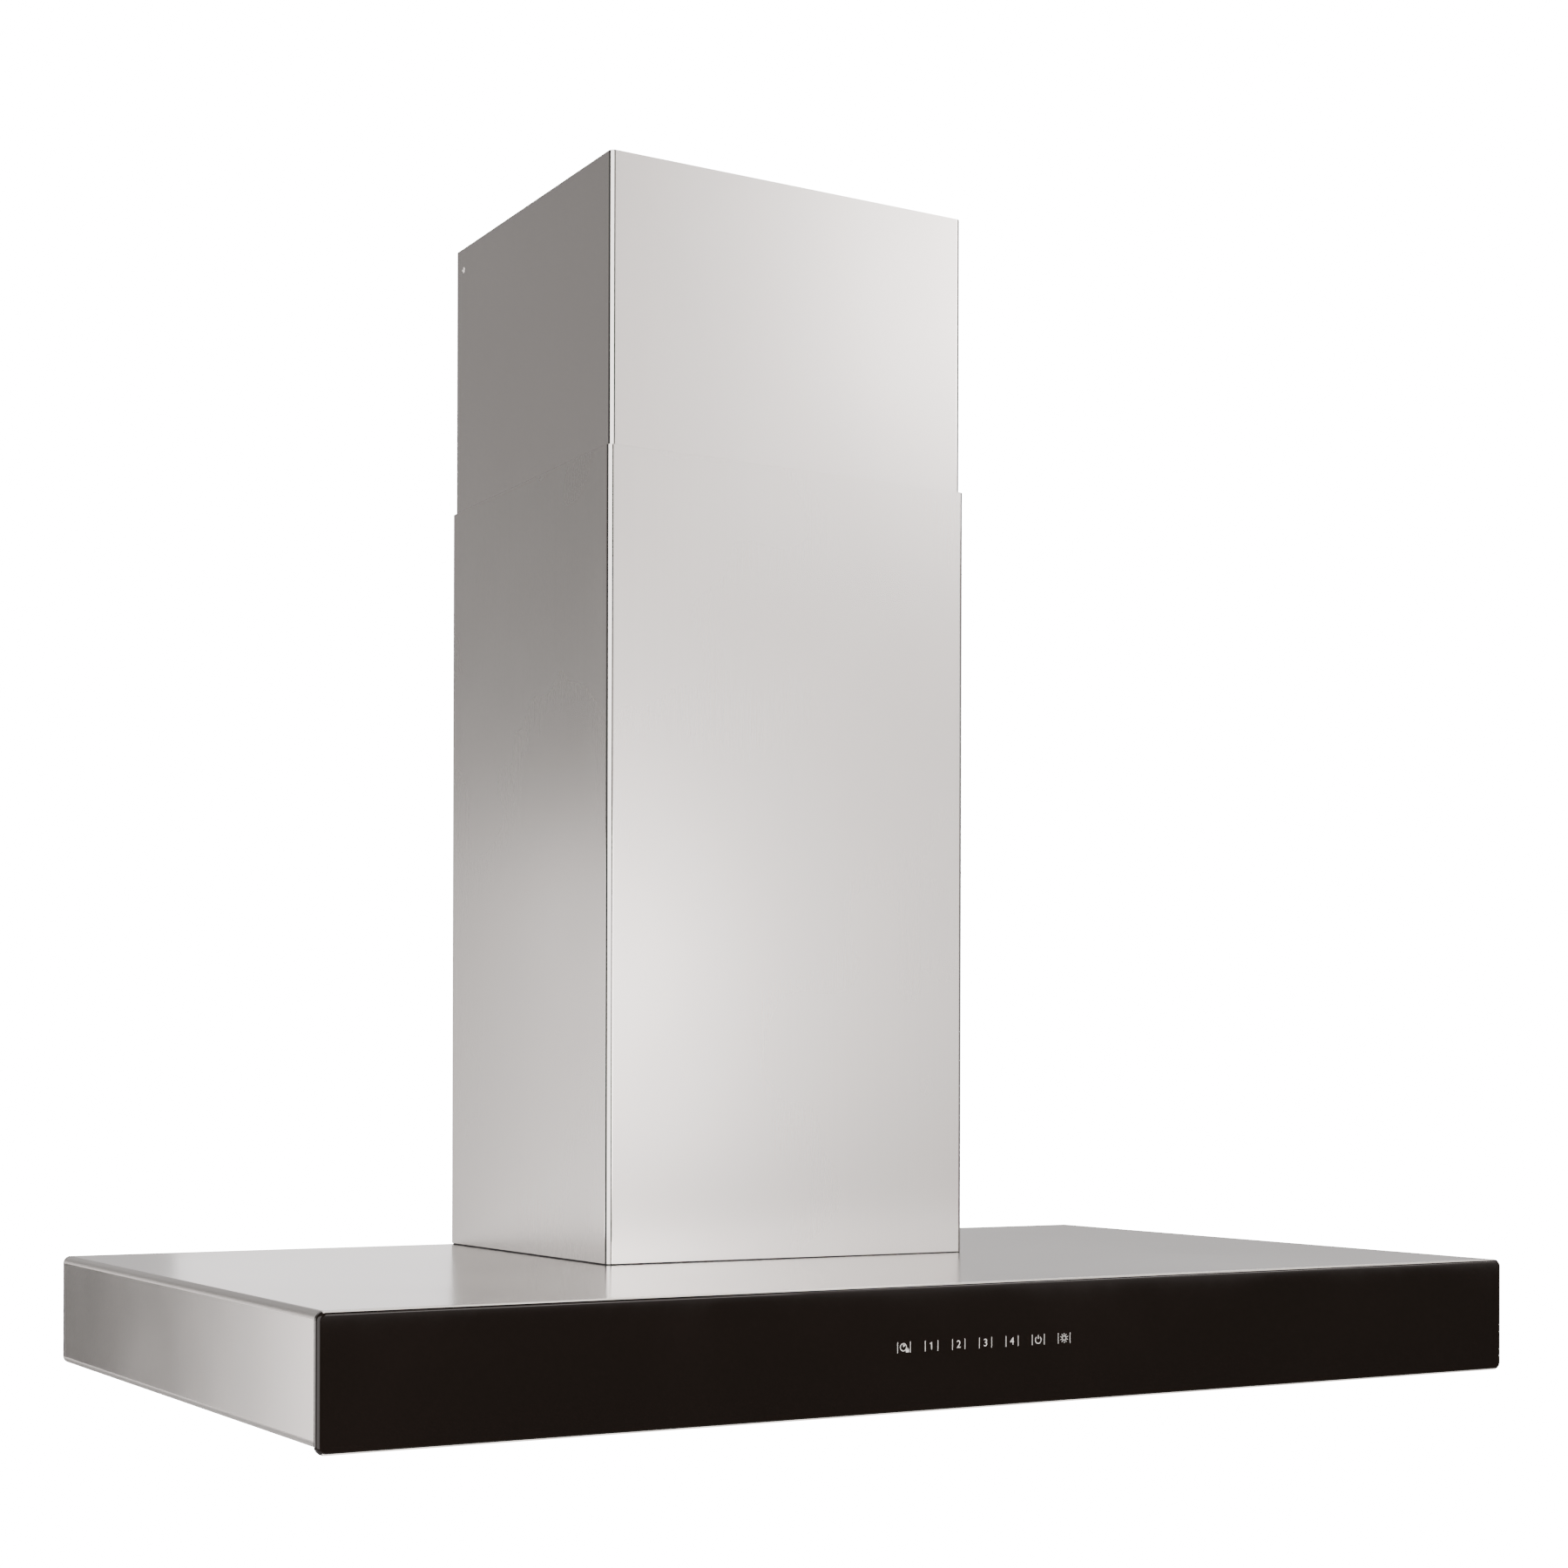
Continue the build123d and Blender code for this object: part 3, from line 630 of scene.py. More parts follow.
def fold_bevel(piece, axis, radius, segments=8):
    """Rounds the folds that run along the axis."""
    bevel_edges(piece, lambda edge: along(edge, axis) and len(edge.link_faces) == 2,
                radius, segments)


def delete_faces(piece, test):
    """Takes away the faces that pass the test."""
    pick(piece, "FACE", test)
    bpy.ops.mesh.delete(type="FACE")
    done_editing()


def extrude_edges(piece, test, move):
    """Draws the open edges that pass the test out into new faces."""
    pick(piece, "EDGE", test)
    bpy.ops.mesh.extrude_edges_move(TRANSFORM_OT_translate={"value": tuple(move)})
    done_editing()


def thicken(piece, sheet):
    """Gives a folded outer skin its thickness inwards."""
    return modify(piece, "SOLIDIFY", thickness=sheet, offset=-1.0, use_even_offset=True)


def cover_piece(name, node, gap=0.0):
    """A chimney cover: front and sides with rounded folds, and returns at the wall."""
    sizes = hood_sizes()
    low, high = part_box(node)
    low = low + Vector((0, 0, gap))
    piece = add_block(name, low, high)
    delete_faces(piece, lambda face: abs(face.normal.z) > 0.9 or face.normal.y > 0.9)
    for side in (-1, 1):
        edge_x = high.x * side
        extrude_edges(piece, lambda edge: along(edge, Z_AXIS) and near(middle(edge).x, edge_x)
                      and near(middle(edge).y, high.y), (-side * sizes.cover_lip, 0, 0))
    fold_bevel(piece, Z_AXIS, sizes.cover_bend)
    return piece


def finish_folds(piece, material, is_fold):
    """Second finish on the faces of a piece's rounded folds."""
    piece.data.materials.append(material)
    for face in piece.data.polygons:
        face.material_index = int(is_fold(face))


def rounded(first, second, third):
    """True for a normal that leans both ways across a fold and not along it."""
    return min(abs(first), abs(second)) > 0.02 and abs(third) < 0.02


def cover_fold(face):
    """True on a chimney cover's two front folds."""
    return rounded(face.normal.x, face.normal.y, face.normal.z) and face.center.y < -200 * MM


def canopy_fold(face):
    """True on the folds along the canopy's sides."""
    return rounded(face.normal.x, face.normal.z, face.normal.y)


def lower_cover():
    """The fixed cover, which stands on its seal."""
    sizes = hood_sizes()
    piece = cover_piece("lower_chimney_cover", "lower_cover", sizes.cover_gap)
    thicken(piece, sizes.cover_sheet)
    round_edges(piece, sizes.hem)
    even_shading(piece)
    fit_out(piece, "hood", "brushed_stainless", cover_steel(), "lower_cover")
    finish_folds(piece, fold_steel(), cover_fold)


def cover_gasket():
    """Black seal that fills the joint between the canopy and the lower cover."""
    sizes = hood_sizes()
    low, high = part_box("lower_cover")
    inset = 0.3 * MM
    rear_inset = 5 * MM
    seal = add_block("cover_gasket", (low.x + inset, low.y + inset, low.z),
                     (high.x - inset, high.y - rear_inset, low.z + sizes.cover_gap))
    delete_faces(seal, lambda face: abs(face.normal.z) > 0.9 or face.normal.y > 0.9)
    fold_bevel(seal, Z_AXIS, sizes.cover_bend - inset)
    thicken(seal, 1 * MM)
    even_shading(seal)
    fit_out(seal, "hood", "grommet_rubber", black_rubber())


def upper_cover():
    """The sliding cover, with a screw hole near the top of each side."""
    sizes = hood_sizes()
    low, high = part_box("upper_cover")
    piece = cover_piece("upper_chimney_cover", "upper_cover")
    thicken(piece, sizes.cover_sheet)
    hole_y = -16 * MM
    hole_z = high.z - 16.6 * MM
    cut(piece, add_rod("drill", sizes.cover_hole, (low.x * 2, hole_y, hole_z),
                       (high.x * 2, hole_y, hole_z), 32))
    round_edges(piece, sizes.hem)
    even_shading(piece)
    fit_out(piece, "upper_cover", "brushed_stainless", upper_cover_steel(), "upper_cover")
    finish_folds(piece, fold_steel(), cover_fold)


def canopy_skin():
    """Canopy top and sides in one sheet, with the lips under the sides and the inlet."""
    sizes = hood_sizes()
    low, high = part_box("canopy_shell")
    piece = add_block("canopy_skin", low, high)
    delete_faces(piece, lambda face: abs(face.normal.y) > 0.9 or face.normal.z < -0.9)
    for side in (-1, 1):
        edge_x = high.x * side
        extrude_edges(piece, lambda edge: along(edge, Y_AXIS) and near(middle(edge).x, edge_x)
                      and near(middle(edge).z, low.z), (-side * sizes.canopy_lip, 0, 0))
    fold_bevel(piece, Y_AXIS, sizes.canopy_bend, 10)
    thicken(piece, sizes.canopy_sheet)
    guard_low, guard_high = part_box("guard_frame")
    guard_rim = Vector((8 * MM, 8 * MM, 0))
    inlet = add_block("inlet", guard_low + guard_rim,
                      guard_high - guard_rim + Vector((0, 0, 5 * OVERSHOOT)))
    bevel_edges(inlet, lambda edge: along(edge, Z_AXIS), sizes.inlet_corner, 6)
    cut(piece, inlet)
    round_edges(piece, sizes.hem)
    even_shading(piece)
    fit_out(piece, "hood", "brushed_stainless", canopy_steel(), "canopy_shell")
    finish_folds(piece, canopy_fold_steel(), canopy_fold)


def bevel_outline(piece, y, offset, segments):
    """Rounds the outline of the pane at one depth."""
    bevel_edges(piece, lambda edge: near(middle(edge).y, y)
                and any(abs(face.normal.y) < 0.1 for face in edge.link_faces), offset, segments)


def lets_light_through(normal):
    """True on the front rounding's right, top and bottom, which get the painted highlight."""
    on_rounding = -0.97 < normal.y < -0.1
    faces_left = normal.x <= -0.3
    return on_rounding and not faces_left and (normal.x > 0.15 or normal.z > 0.75
                                               or normal.z < -0.4)


def glass_pane():
    """Front pane with rounded corners, black paint and a polished edge with a painted highlight
    on its right, top and bottom.
    """
    sizes = hood_sizes()
    low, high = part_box("front_glass")
    piece = add_block("front_glass_pane", low, high)
    bevel_edges(piece, lambda edge: along(edge, Y_AXIS), sizes.glass_corner, 10)
    bevel_outline(piece, low.y, sizes.glass_edge, 6)
    bevel_outline(piece, high.y, 0.5 * MM, 3)
    even_shading(piece)
    fit_out(piece, "hood", "black_glass", black_glass(), "front_glass")
    # painted highlight on the edge rounding's right, top and bottom faces; the left stays black
    finish_folds(piece, glass_edge(), lambda face: lets_light_through(face.normal))


# ---------------------------------------------------------------- touch icons

def print_plane():
    """Depth of the print, just proud of the glass."""
    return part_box("front_glass")[0].y - 0.02 * MM


def stood_up(name):
    """Names the flat shape just added and stands it up against the glass."""
    shape = named(name)
    shape.rotation_euler = (math.radians(90), 0, 0)
    return settle(shape)


def flat_bar(x, z, width, height, lean=0.0):
    """A printed bar on the glass, turned by lean about the pane's normal."""
    deselect_all()
    bpy.ops.mesh.primitive_plane_add(size=1, location=(x, print_plane(), z))
    bar = named("bar")
    bar.scale = (width, height, 1)
    bar.rotation_euler = (math.radians(90), lean, 0)
    return settle(bar)


def keep_angles(shape, x, z, keep):
    """Leaves only the faces whose angle from straight up passes the test."""
    def angle(face):
        centre = face.calc_center_median()
        return math.degrees(math.atan2(centre.x - x, centre.z - z))
    delete_faces(shape, lambda face: not keep(angle(face)))


def flat_ring(x, z, radius, line, keep=None):
    """A printed ring; keep(angle) tells which angles from straight up stay printed."""
    inner, outer = radius - line / 2, radius + line / 2
    deselect_all()
    bpy.ops.mesh.primitive_circle_add(vertices=48, radius=inner, location=(x, print_plane(), z))
    ring = stood_up("ring")
    pick(ring, "EDGE", lambda edge: True)
    bpy.ops.mesh.extrude_edges_move()
    bpy.ops.transform.resize(value=(outer / inner,) * 3, center_override=(x, print_plane(), z))
    done_editing()
    if keep is not None:
        keep_angles(ring, x, z, keep)
    return ring


def flat_wedge(x, z, radius, start, end):
    """A printed slice of a disc, between two angles from straight up."""
    deselect_all()
    bpy.ops.mesh.primitive_circle_add(vertices=48, radius=radius, fill_type="TRIFAN",
                                      location=(x, print_plane(), z))
    disc = stood_up("wedge")
    keep_angles(disc, x, z, lambda angle: start < angle < end)
    return disc


def flat_digit(text, x, z, height):
    """A printed number."""
    size_per_height = 1.37
    deselect_all()
    bpy.ops.object.text_add(location=(x, print_plane(), z), rotation=(math.radians(90), 0, 0))
    words = bpy.context.object
    words.data.body = text
    words.data.size = height * size_per_height
    words.data.align_x = "CENTER"
    words.data.align_y = "CENTER"
    bpy.ops.object.convert(target="MESH")
    return settle(named("digit"))


def timer_icon(x, z, line):
    """A clock with one hand, and a small padlock at its lower right."""
    clock_x, clock_z = x - 0.5 * MM, z + 0.1 * MM
    lock_x = x + 2.5 * MM
    ring = flat_ring(clock_x, clock_z, 2.3 * MM, line)
    hand = flat_wedge(clock_x, clock_z, 1.7 * MM, -5, 50)
    lock = flat_bar(lock_x, z - 2.3 * MM, 2.3 * MM, 1.8 * MM)
    shackle = flat_ring(lock_x, z - 1.3 * MM, 0.7 * MM, line * 0.6, lambda angle: abs(angle) < 95)
    return [ring, hand, lock, shackle]


def power_icon(x, z, line):
    """An open ring with a bar through its gap."""
    ring = flat_ring(x, z - 0.2 * MM, 2.3 * MM, line, lambda angle: abs(angle) > 38)
    return [ring, flat_bar(x, z + 1.7 * MM, line, 2.4 * MM)]


def light_icon(x, z, line):
    """A ring with ten rays."""
    rays = 10
    reach = 2.5 * MM
    shapes = [flat_ring(x, z, 1.35 * MM, line * 0.8)]
    for i in range(rays):
        angle = 2 * math.pi * i / rays
        shapes.append(flat_bar(x + reach * math.sin(angle), z + reach * math.cos(angle),
                               line * 0.75, 1.3 * MM, angle))
    return shapes


def digit_icon(i, x, z, line):
    """A number; the font's bare 1 gets a flag."""
    shapes = [flat_digit(str(i), x, z - 0.2 * MM, hood_sizes().icon_height)]
    if i == 1:
        shapes.append(flat_bar(x - 0.62 * MM, z + 1.75 * MM, 1.5 * MM, line, -0.55))
    return shapes


def touch_icons():
    """Seven icons between pairs of bars, printed in one row."""
    sizes = hood_sizes()
    line = sizes.icon_line
    centre_x, _, z = centre_of("touch_board")
    symbols = {0: timer_icon, 5: power_icon, 6: light_icon}
    count = 7
    shapes = []
    for i in range(count):
        x = centre_x + (i - count // 2) * sizes.icon_pitch
        for side in (-1, 1):
            shapes.append(flat_bar(x + side * 4.75 * MM, z, line * 0.85, 6.8 * MM))
        if i in symbols:
            shapes += symbols[i](x, z, line)
        else:
            shapes += digit_icon(i, x, z, line)
    icons = merge("touch_icons", shapes)
    modify(icons, "SOLIDIFY", thickness=0.03 * MM, offset=1.0)
    fit_out(icons, "hood", "white_nylon", icon_print())


# ---------------------------------------------------------------- screws and rivets

def pan_head(name, radius, height):
    """A pan head with a cross recess, standing on the origin and facing up."""
    head = add_rod(name, radius, (0, 0, 0), (0, 0, height), 24)
    bevel_edges(head, lambda edge: near(middle(edge).z, height), height * 0.62, 4)
    depth = height * 0.45
    long, short = radius * 1.15 / 2, radius * 0.26 / 2
    for half_x, half_y in ((long, short), (short, long)):
        cut(head, add_block("slot", (-half_x, -half_y, height - depth),
                            (half_x, half_y, height + depth)))
    return smooth(head, 40)


def rivet_dome(name, radius, height):
    """A low domed rivet head, facing up."""
    dome = add_rod(name, radius, (0, 0, 0), (0, 0, height), 16)
    bevel_edges(dome, lambda edge: near(middle(edge).z, height), height * 0.9, 3)
    return smooth(dome, 50)


def facing(axis):
    """Turn that takes something facing up to face along the axis."""
    return Vector(axis).to_track_quat("Z", "Y").to_matrix().to_4x4()


def scatter(name, model, places):
    """Copies of a model at places, each a point and the way it faces, as one piece."""
    spin_step = math.radians(37)
    copies = []
    for i, (point, axis) in enumerate(places):
        spin = Matrix.Rotation(spin_step * i, 4, "Z")
        copies.append(copy_piece(model, Matrix.Translation(point) @ facing(axis) @ spin))
    bpy.data.objects.remove(model)
    return merge(name, copies)


def blower_screw_heads():
    """Screws down both edges of the blower's rear cover and of its lid."""
    low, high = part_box("blower_rear_cover")
    lid_low, lid_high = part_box("blower_lid")
    inset = 8 * MM
    end_inset = 14 * MM
    places = []
    for x in (low.x + inset, high.x - inset):
        for z in (low.z + end_inset, (low.z + high.z) / 2, high.z - end_inset):
            places.append(((x, low.y + 1 * MM, z), Y_AXIS))
        for y in (lid_low.y + end_inset, (lid_low.y + lid_high.y) / 2, lid_high.y - end_inset):
            places.append(((x, y, lid_high.z), Z_AXIS))
    heads = scatter("blower_screw_heads", pan_head("head", 3.5 * MM, 2 * MM), places)
    fit_out(heads, "hood", "zinc_screws", screw_zinc(), "blower_screws")


def canopy_screw_heads():
    """Low screw heads up under the canopy's side lips."""
    low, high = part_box("canopy_screws")
    radius = 3.2 * MM
    places = [((x, y, high.z), -Z_AXIS) for x in (low.x + radius, high.x - radius)
              for y in (-480 * MM, -260 * MM, -40 * MM)]
    heads = scatter("canopy_screw_heads", pan_head("head", radius, 0.7 * MM), places)
    fit_out(heads, "hood", "zinc_screws", screw_zinc(), "canopy_screws")


def cover_screw_heads():
    """Screws that hold the lower cover's feet."""
    low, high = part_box("cover_screws")
    radius = 3 * MM
    places = [((x, y, low.z), Z_AXIS) for x in (low.x + radius, high.x - radius)
              for y in (low.y + radius, high.y - radius)]
    heads = scatter("cover_screw_heads", pan_head("head", radius, 2 * MM), places)
    fit_out(heads, "hood", "zinc_screws", screw_zinc(), "cover_screws")


# ---------------------------------------------------------------- filters

def rim_channel(name, low, high, side, front, sheet):
    """A folded filter rim, open upwards, with mitred corners."""
    rim = add_block(name, low, high)
    inner_low = Vector((low.x + side, low.y + front, low.z - 1 * MM))
    inner_high = Vector((high.x - side, high.y - side, high.z + 1 * MM))
    cut(rim, add_block("middle", inner_low, inner_high))
    lift = Vector((0, 0, sheet))
    edge = Vector((sheet, sheet, 0))
    groove = add_block("groove", low + edge + lift, high - edge + Vector((0, 0, 1 * MM)))
    cut(groove, add_block("middle", inner_low - edge, inner_high + edge))
    cut(rim, groove)
    half_line = 0.12 * MM
    line_depth = 0.25 * MM
    for x, y, lean in ((low.x, low.y, 1), (high.x, low.y, -1),
                       (low.x, high.y, -1), (high.x, high.y, 1)):
        depth = front if y == low.y else side
        reach = math.hypot(side, depth)
        mitre = add_block("mitre", (-reach, -half_line, -line_depth),
                          (reach, half_line, line_depth))
        turn = Matrix.Rotation(lean * math.atan2(depth, side), 4, "Z")
        mitre.data.transform(Matrix.Translation(Vector((x, y, low.z))) @ turn)
        cut(rim, mitre)
    return rim


def filter_rim(side):
    """One filter's rim, with its latch slot, latch mouth and rear tabs."""
    low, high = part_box("filter_frame_" + side)
    tab_reach = 7 * MM
    tab_width = 20 * MM
    tab_bottom = 2.3 * MM
    tab_top = 3.3 * MM
    high = Vector((high.x, high.y - tab_reach, high.z))
    centre = (low.x + high.x) / 2
    rim = rim_channel("filter_rim_" + side, low, high, 14 * MM, 24 * MM, 1 * MM)
    slot = add_block("slot", (centre - 5.5 * MM, low.y + 5.5 * MM, low.z - 1 * MM),
                     (centre + 5.5 * MM, low.y + 17.5 * MM, low.z + 2 * MM))
    mouth = add_block("mouth", (centre - 8.5 * MM, low.y - 1 * MM, low.z + 1 * MM),
                      (centre + 8.5 * MM, low.y + 2 * MM, low.z + 4 * MM))
    cut(rim, slot, mouth)
    pieces = [rim]
    for way in (-1, 1):
        x = centre + way * 80 * MM
        tab = add_block("tab", (x - tab_width / 2, high.y - 0.5 * MM, tab_bottom),
                        (x + tab_width / 2, high.y + tab_reach, tab_top))
        bevel_edges(tab, lambda edge: along(edge, Z_AXIS) and middle(edge).y > high.y, 4 * MM, 5)
        pieces.append(tab)
    rim = merge("filter_rim_" + side, pieces)
    round_edges(rim, 0.35 * MM)
    even_shading(rim)
    fit_out(rim, "filter_" + side, "filter_stainless", filter_steel(), "filter_frame_" + side)
    corners = [((x, y, low.z), -Z_AXIS) for x in (low.x + 7 * MM, high.x - 7 * MM)
               for y in (low.y + 12 * MM, high.y - 7 * MM)]
    rivets = scatter("filter_rivets_" + side, rivet_dome("dome", 2 * MM, 0.9 * MM), corners)
    fit_out(rivets, "filter_" + side, "filter_stainless", screw_zinc())


def trough(low, high, up):
    """A folded slat, open upwards (up = 1) or downwards (up = -1)."""
    slat = add_block("slat", low, high)
    delete_faces(slat, lambda face: abs(face.normal.y) > 0.9 or face.normal.z * up > 0.9)
    fold_bevel(slat, Y_AXIS, 1.6 * MM, 4)
    modify(slat, "SOLIDIFY", thickness=0.8 * MM, offset=-1.0)
    return slat


def row_of(model, count, pitch):
    """Copies of a slat, side by side about the model's place."""
    copies = []
    for i in range(count):
        shift = (i - (count - 1) / 2) * pitch
        copies.append(copy_piece(model, Matrix.Translation((shift, 0, 0))))
    bpy.data.objects.remove(model)
    return copies


def filter_slats(side):
    """Baffle slats: a lower row, and an upper row over the lower row's gaps."""
    low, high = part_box("filter_baffles_" + side)
    pitch = 28 * MM
    half = 9 * MM
    count = 8
    lower_top = 6 * MM
    upper_bottom = 3.6 * MM
    centre = (low.x + high.x) / 2
    lower = trough((centre - half, low.y, low.z), (centre + half, high.y, lower_top), 1)
    upper = trough((centre - half, low.y, upper_bottom), (centre + half, high.y, high.z), -1)
    slats = merge("filter_slats_" + side,
                  row_of(lower, count, pitch) + row_of(upper, count - 1, pitch))
    round_edges(slats, 0.15 * MM, 1)
    even_shading(slats, 50)
    fit_out(slats, "filter_" + side, "filter_stainless", filter_steel(), "filter_baffles_" + side)


def filter_pull(side):
    """Curled finger pull under the front rim, with its two rivets."""
    low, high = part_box("filter_handle_" + side)
    sheet = 0.9 * MM
    pull = add_block("filter_pull_" + side, low, high)
    delete_faces(pull, lambda face: face.normal.z < -0.9 or face.normal.y < -0.9
                 or abs(face.normal.x) > 0.9)
    fold_bevel(pull, X_AXIS, 2 * MM, 6)
    modify(pull, "SOLIDIFY", thickness=sheet, offset=-1.0)
    round_edges(pull, 0.25 * MM)
    even_shading(pull, 50)
    places = [((x, low.y + 4 * MM, high.z - sheet), -Z_AXIS)
              for x in (low.x + 8 * MM, high.x - 8 * MM)]
    rivets = scatter("rivets", rivet_dome("dome", 1.8 * MM, 0.8 * MM), places)
    pull = merge("filter_pull_" + side, [pull, rivets])
    fit_out(pull, "filter_" + side, "filter_stainless", filter_steel(), "filter_handle_" + side)


def filter_latch(side):
    """Latch: ribbed button, stem and bolt."""
    low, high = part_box("filter_latch_" + side)
    centre = (low.x + high.x) / 2
    front = low.y - 0.3 * MM
    bolt_bottom = 1.6 * MM
    bolt_top = 3.6 * MM
    button = add_block("button", (centre - 13 * MM, front + 3 * MM, low.z),
                       (centre + 13 * MM, front + 15 * MM, -0.3 * MM))
    bevel_edges(button, lambda edge: along(edge, Z_AXIS), 2.5 * MM, 5)
    grooves = 5
    groove_half = 0.45 * MM
    for i in range(grooves):
        y = front + (5.4 + i * 1.8) * MM
        cut(button, add_block("groove", (centre - 9 * MM, y - groove_half, low.z - 1 * MM),
                              (centre + 9 * MM, y + groove_half, low.z + 0.7 * MM)))
    round_edges(button, 0.3 * MM, 2, 50)
    stem = add_block("stem", (centre - 5 * MM, front + 6 * MM, -0.5 * MM),
                     (centre + 5 * MM, front + 10 * MM, 1.8 * MM))
    bolt = add_block("bolt", (centre - 18 * MM, front + 3 * MM, bolt_bottom),
                     (centre + 18 * MM, front + 13 * MM, bolt_top))
    nose = add_block("nose", (centre - 8 * MM, low.y, bolt_bottom),
                     (centre + 8 * MM, front + 4 * MM, bolt_top))
    latch = merge("filter_latch_piece_" + side, [button, stem, soften(bolt, 0.4 * MM), nose])
    even_shading(latch)
    fit_out(latch, "latch_" + side, "latch_plastic", latch_nylon(), "filter_latch_" + side)


def latch_spring(side):
    """Coil spring between the bolt and the rim's inner wall."""
    low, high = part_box("filter_latch_" + side)
    centre = (low.x + high.x) / 2
    bolt_rear = low.y + 12.7 * MM
    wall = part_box("filter_frame_" + side)[0].y + 23 * MM
    axis_z = 3.4 * MM
    coil_radius = 2.1 * MM
    wire_radius = 0.25 * MM
    turns = 5
    deselect_all()
    bpy.ops.mesh.primitive_circle_add(vertices=8, radius=wire_radius,
                                      location=(coil_radius, 0, 0),
                                      rotation=(math.radians(90), 0, 0))
    coil = settle(named("latch_spring_" + side))
    reach = wall - bolt_rear - 2 * wire_radius
    modify(coil, "SCREW", axis="Z", screw_offset=reach / turns, iterations=turns, steps=16,
           render_steps=16, use_merge_vertices=False, use_normal_calculate=True)
    pick(coil, "EDGE", lambda edge: len(edge.link_faces) == 1)
    bpy.ops.mesh.edge_face_add()
    bpy.ops.mesh.select_all(action="SELECT")
    bpy.ops.mesh.normals_make_consistent(inside=False)
    done_editing()
    lay = Matrix.Translation((centre, bolt_rear + wire_radius, axis_z))
    coil.data.transform(lay @ Matrix.Rotation(math.radians(-90), 4, "X"))
    smooth(coil, 60)
    coil.data.materials.append(ground_steel())
    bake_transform(coil)


# ---------------------------------------------------------------- lamps

def lamp_bezel(side, place):
    """Bezel with a step for the lens."""
    low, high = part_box("lamp_bezel_" + side)
    radius = (high.x - low.x) / 2
    bezel = post("lamp_bezel_ring_" + side, radius, place, low.z, high.z, 96)
    cut(bezel, post("bore", radius - 8 * MM, place, -OVERSHOOT, OVERSHOOT, 96))
    cut(bezel, post("step", radius - 6.6 * MM, place, -OVERSHOOT, low.z + 0.5 * MM, 96))
    round_edges(bezel, 0.4 * MM, 3, 50)
    even_shading(bezel)
    fit_out(bezel, "hood", "lamp_trim", satin_chrome(), "lamp_bezel_" + side)


def lamp_lens(side, place):
    """Opal lens with three fine rings."""
    low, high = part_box("lamp_lens_" + side)
    radius = (high.x - low.x) / 2
    lens = post("lamp_lens_disc_" + side, radius, place, low.z, high.z, 96)
    half_line = 0.25 * MM
    for share in (0.25, 0.5, 0.75):
        ring = radius * share
        groove = post("groove", ring + half_line, place, -OVERSHOOT, low.z + 0.2 * MM, 64)
        cut(groove, post("core", ring - half_line, place, -2 * OVERSHOOT, OVERSHOOT, 64))
        cut(lens, groove)
    even_shading(lens)
    fit_out(lens, "hood", "lamp_diffuser", opal_lens(), "lamp_lens_" + side)


def lamp_heat_sink(side, place):
    """Heat sink: a base, a core and fins round it."""
    low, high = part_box("lamp_body_" + side)
    radius = (high.x - low.x) / 2
    x, y = place
    base = post("base", radius, place, low.z, 12 * MM, 72)
    core = post("core", 9 * MM, place, 11 * MM, high.z, 48)
    parts = [soften(base, 0.6 * MM), soften(core, 0.5 * MM)]
    fins = 24
    fin = add_block("fin", (x + 7 * MM, y - 0.6 * MM, 11.5 * MM),
                    (x + radius - 2 * MM, y + 0.6 * MM, high.z - 1.5 * MM))
    parts += around(soften(fin, 0.2 * MM, 1), fins, (x, y, 0), Z_AXIS)
    sink = merge("lamp_heat_sink_" + side, parts)
    fit_out(sink, "hood", "lamp_heat_sink", cast_aluminium(), "lamp_body_" + side)


def lamp(side):
    """One lamp: its bezel, lens and heat sink."""
    place = centre_of("lamp_bezel_" + side)[:2]
    lamp_bezel(side, place)
    lamp_lens(side, place)
    lamp_heat_sink(side, place)


# ---------------------------------------------------------------- blower box

def rear_cover():
    """Rear cover of the blower box, with a pressed field that stands out."""
    low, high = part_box("blower_rear_cover")
    step = 3 * MM
    cover = add_block("blower_rear_panel", low, (high.x, high.y - step, high.z))
    pick(cover, "FACE", lambda face: face.normal.y > 0.9)
    bpy.ops.mesh.inset(thickness=28 * MM, depth=0)
    bpy.ops.mesh.inset(thickness=4 * MM, depth=step)
    bpy.ops.mesh.inset(thickness=46 * MM, depth=0)
    bpy.ops.mesh.inset(thickness=3 * MM, depth=-1.8 * MM)
    done_editing()
    round_edges(cover, 1.2 * MM, 3, 20)
    even_shading(cover, 30)
    fit_out(cover, "hood", "galvanised_steel", galvanised(), "blower_rear_cover")


def torus(name, place, major, minor, major_segments):
    """A ring of round section, lying flat."""
    deselect_all()
    bpy.ops.mesh.primitive_torus_add(location=place, major_radius=major, minor_radius=minor,
                                     major_segments=major_segments, minor_segments=10)
    return settle(named(name))


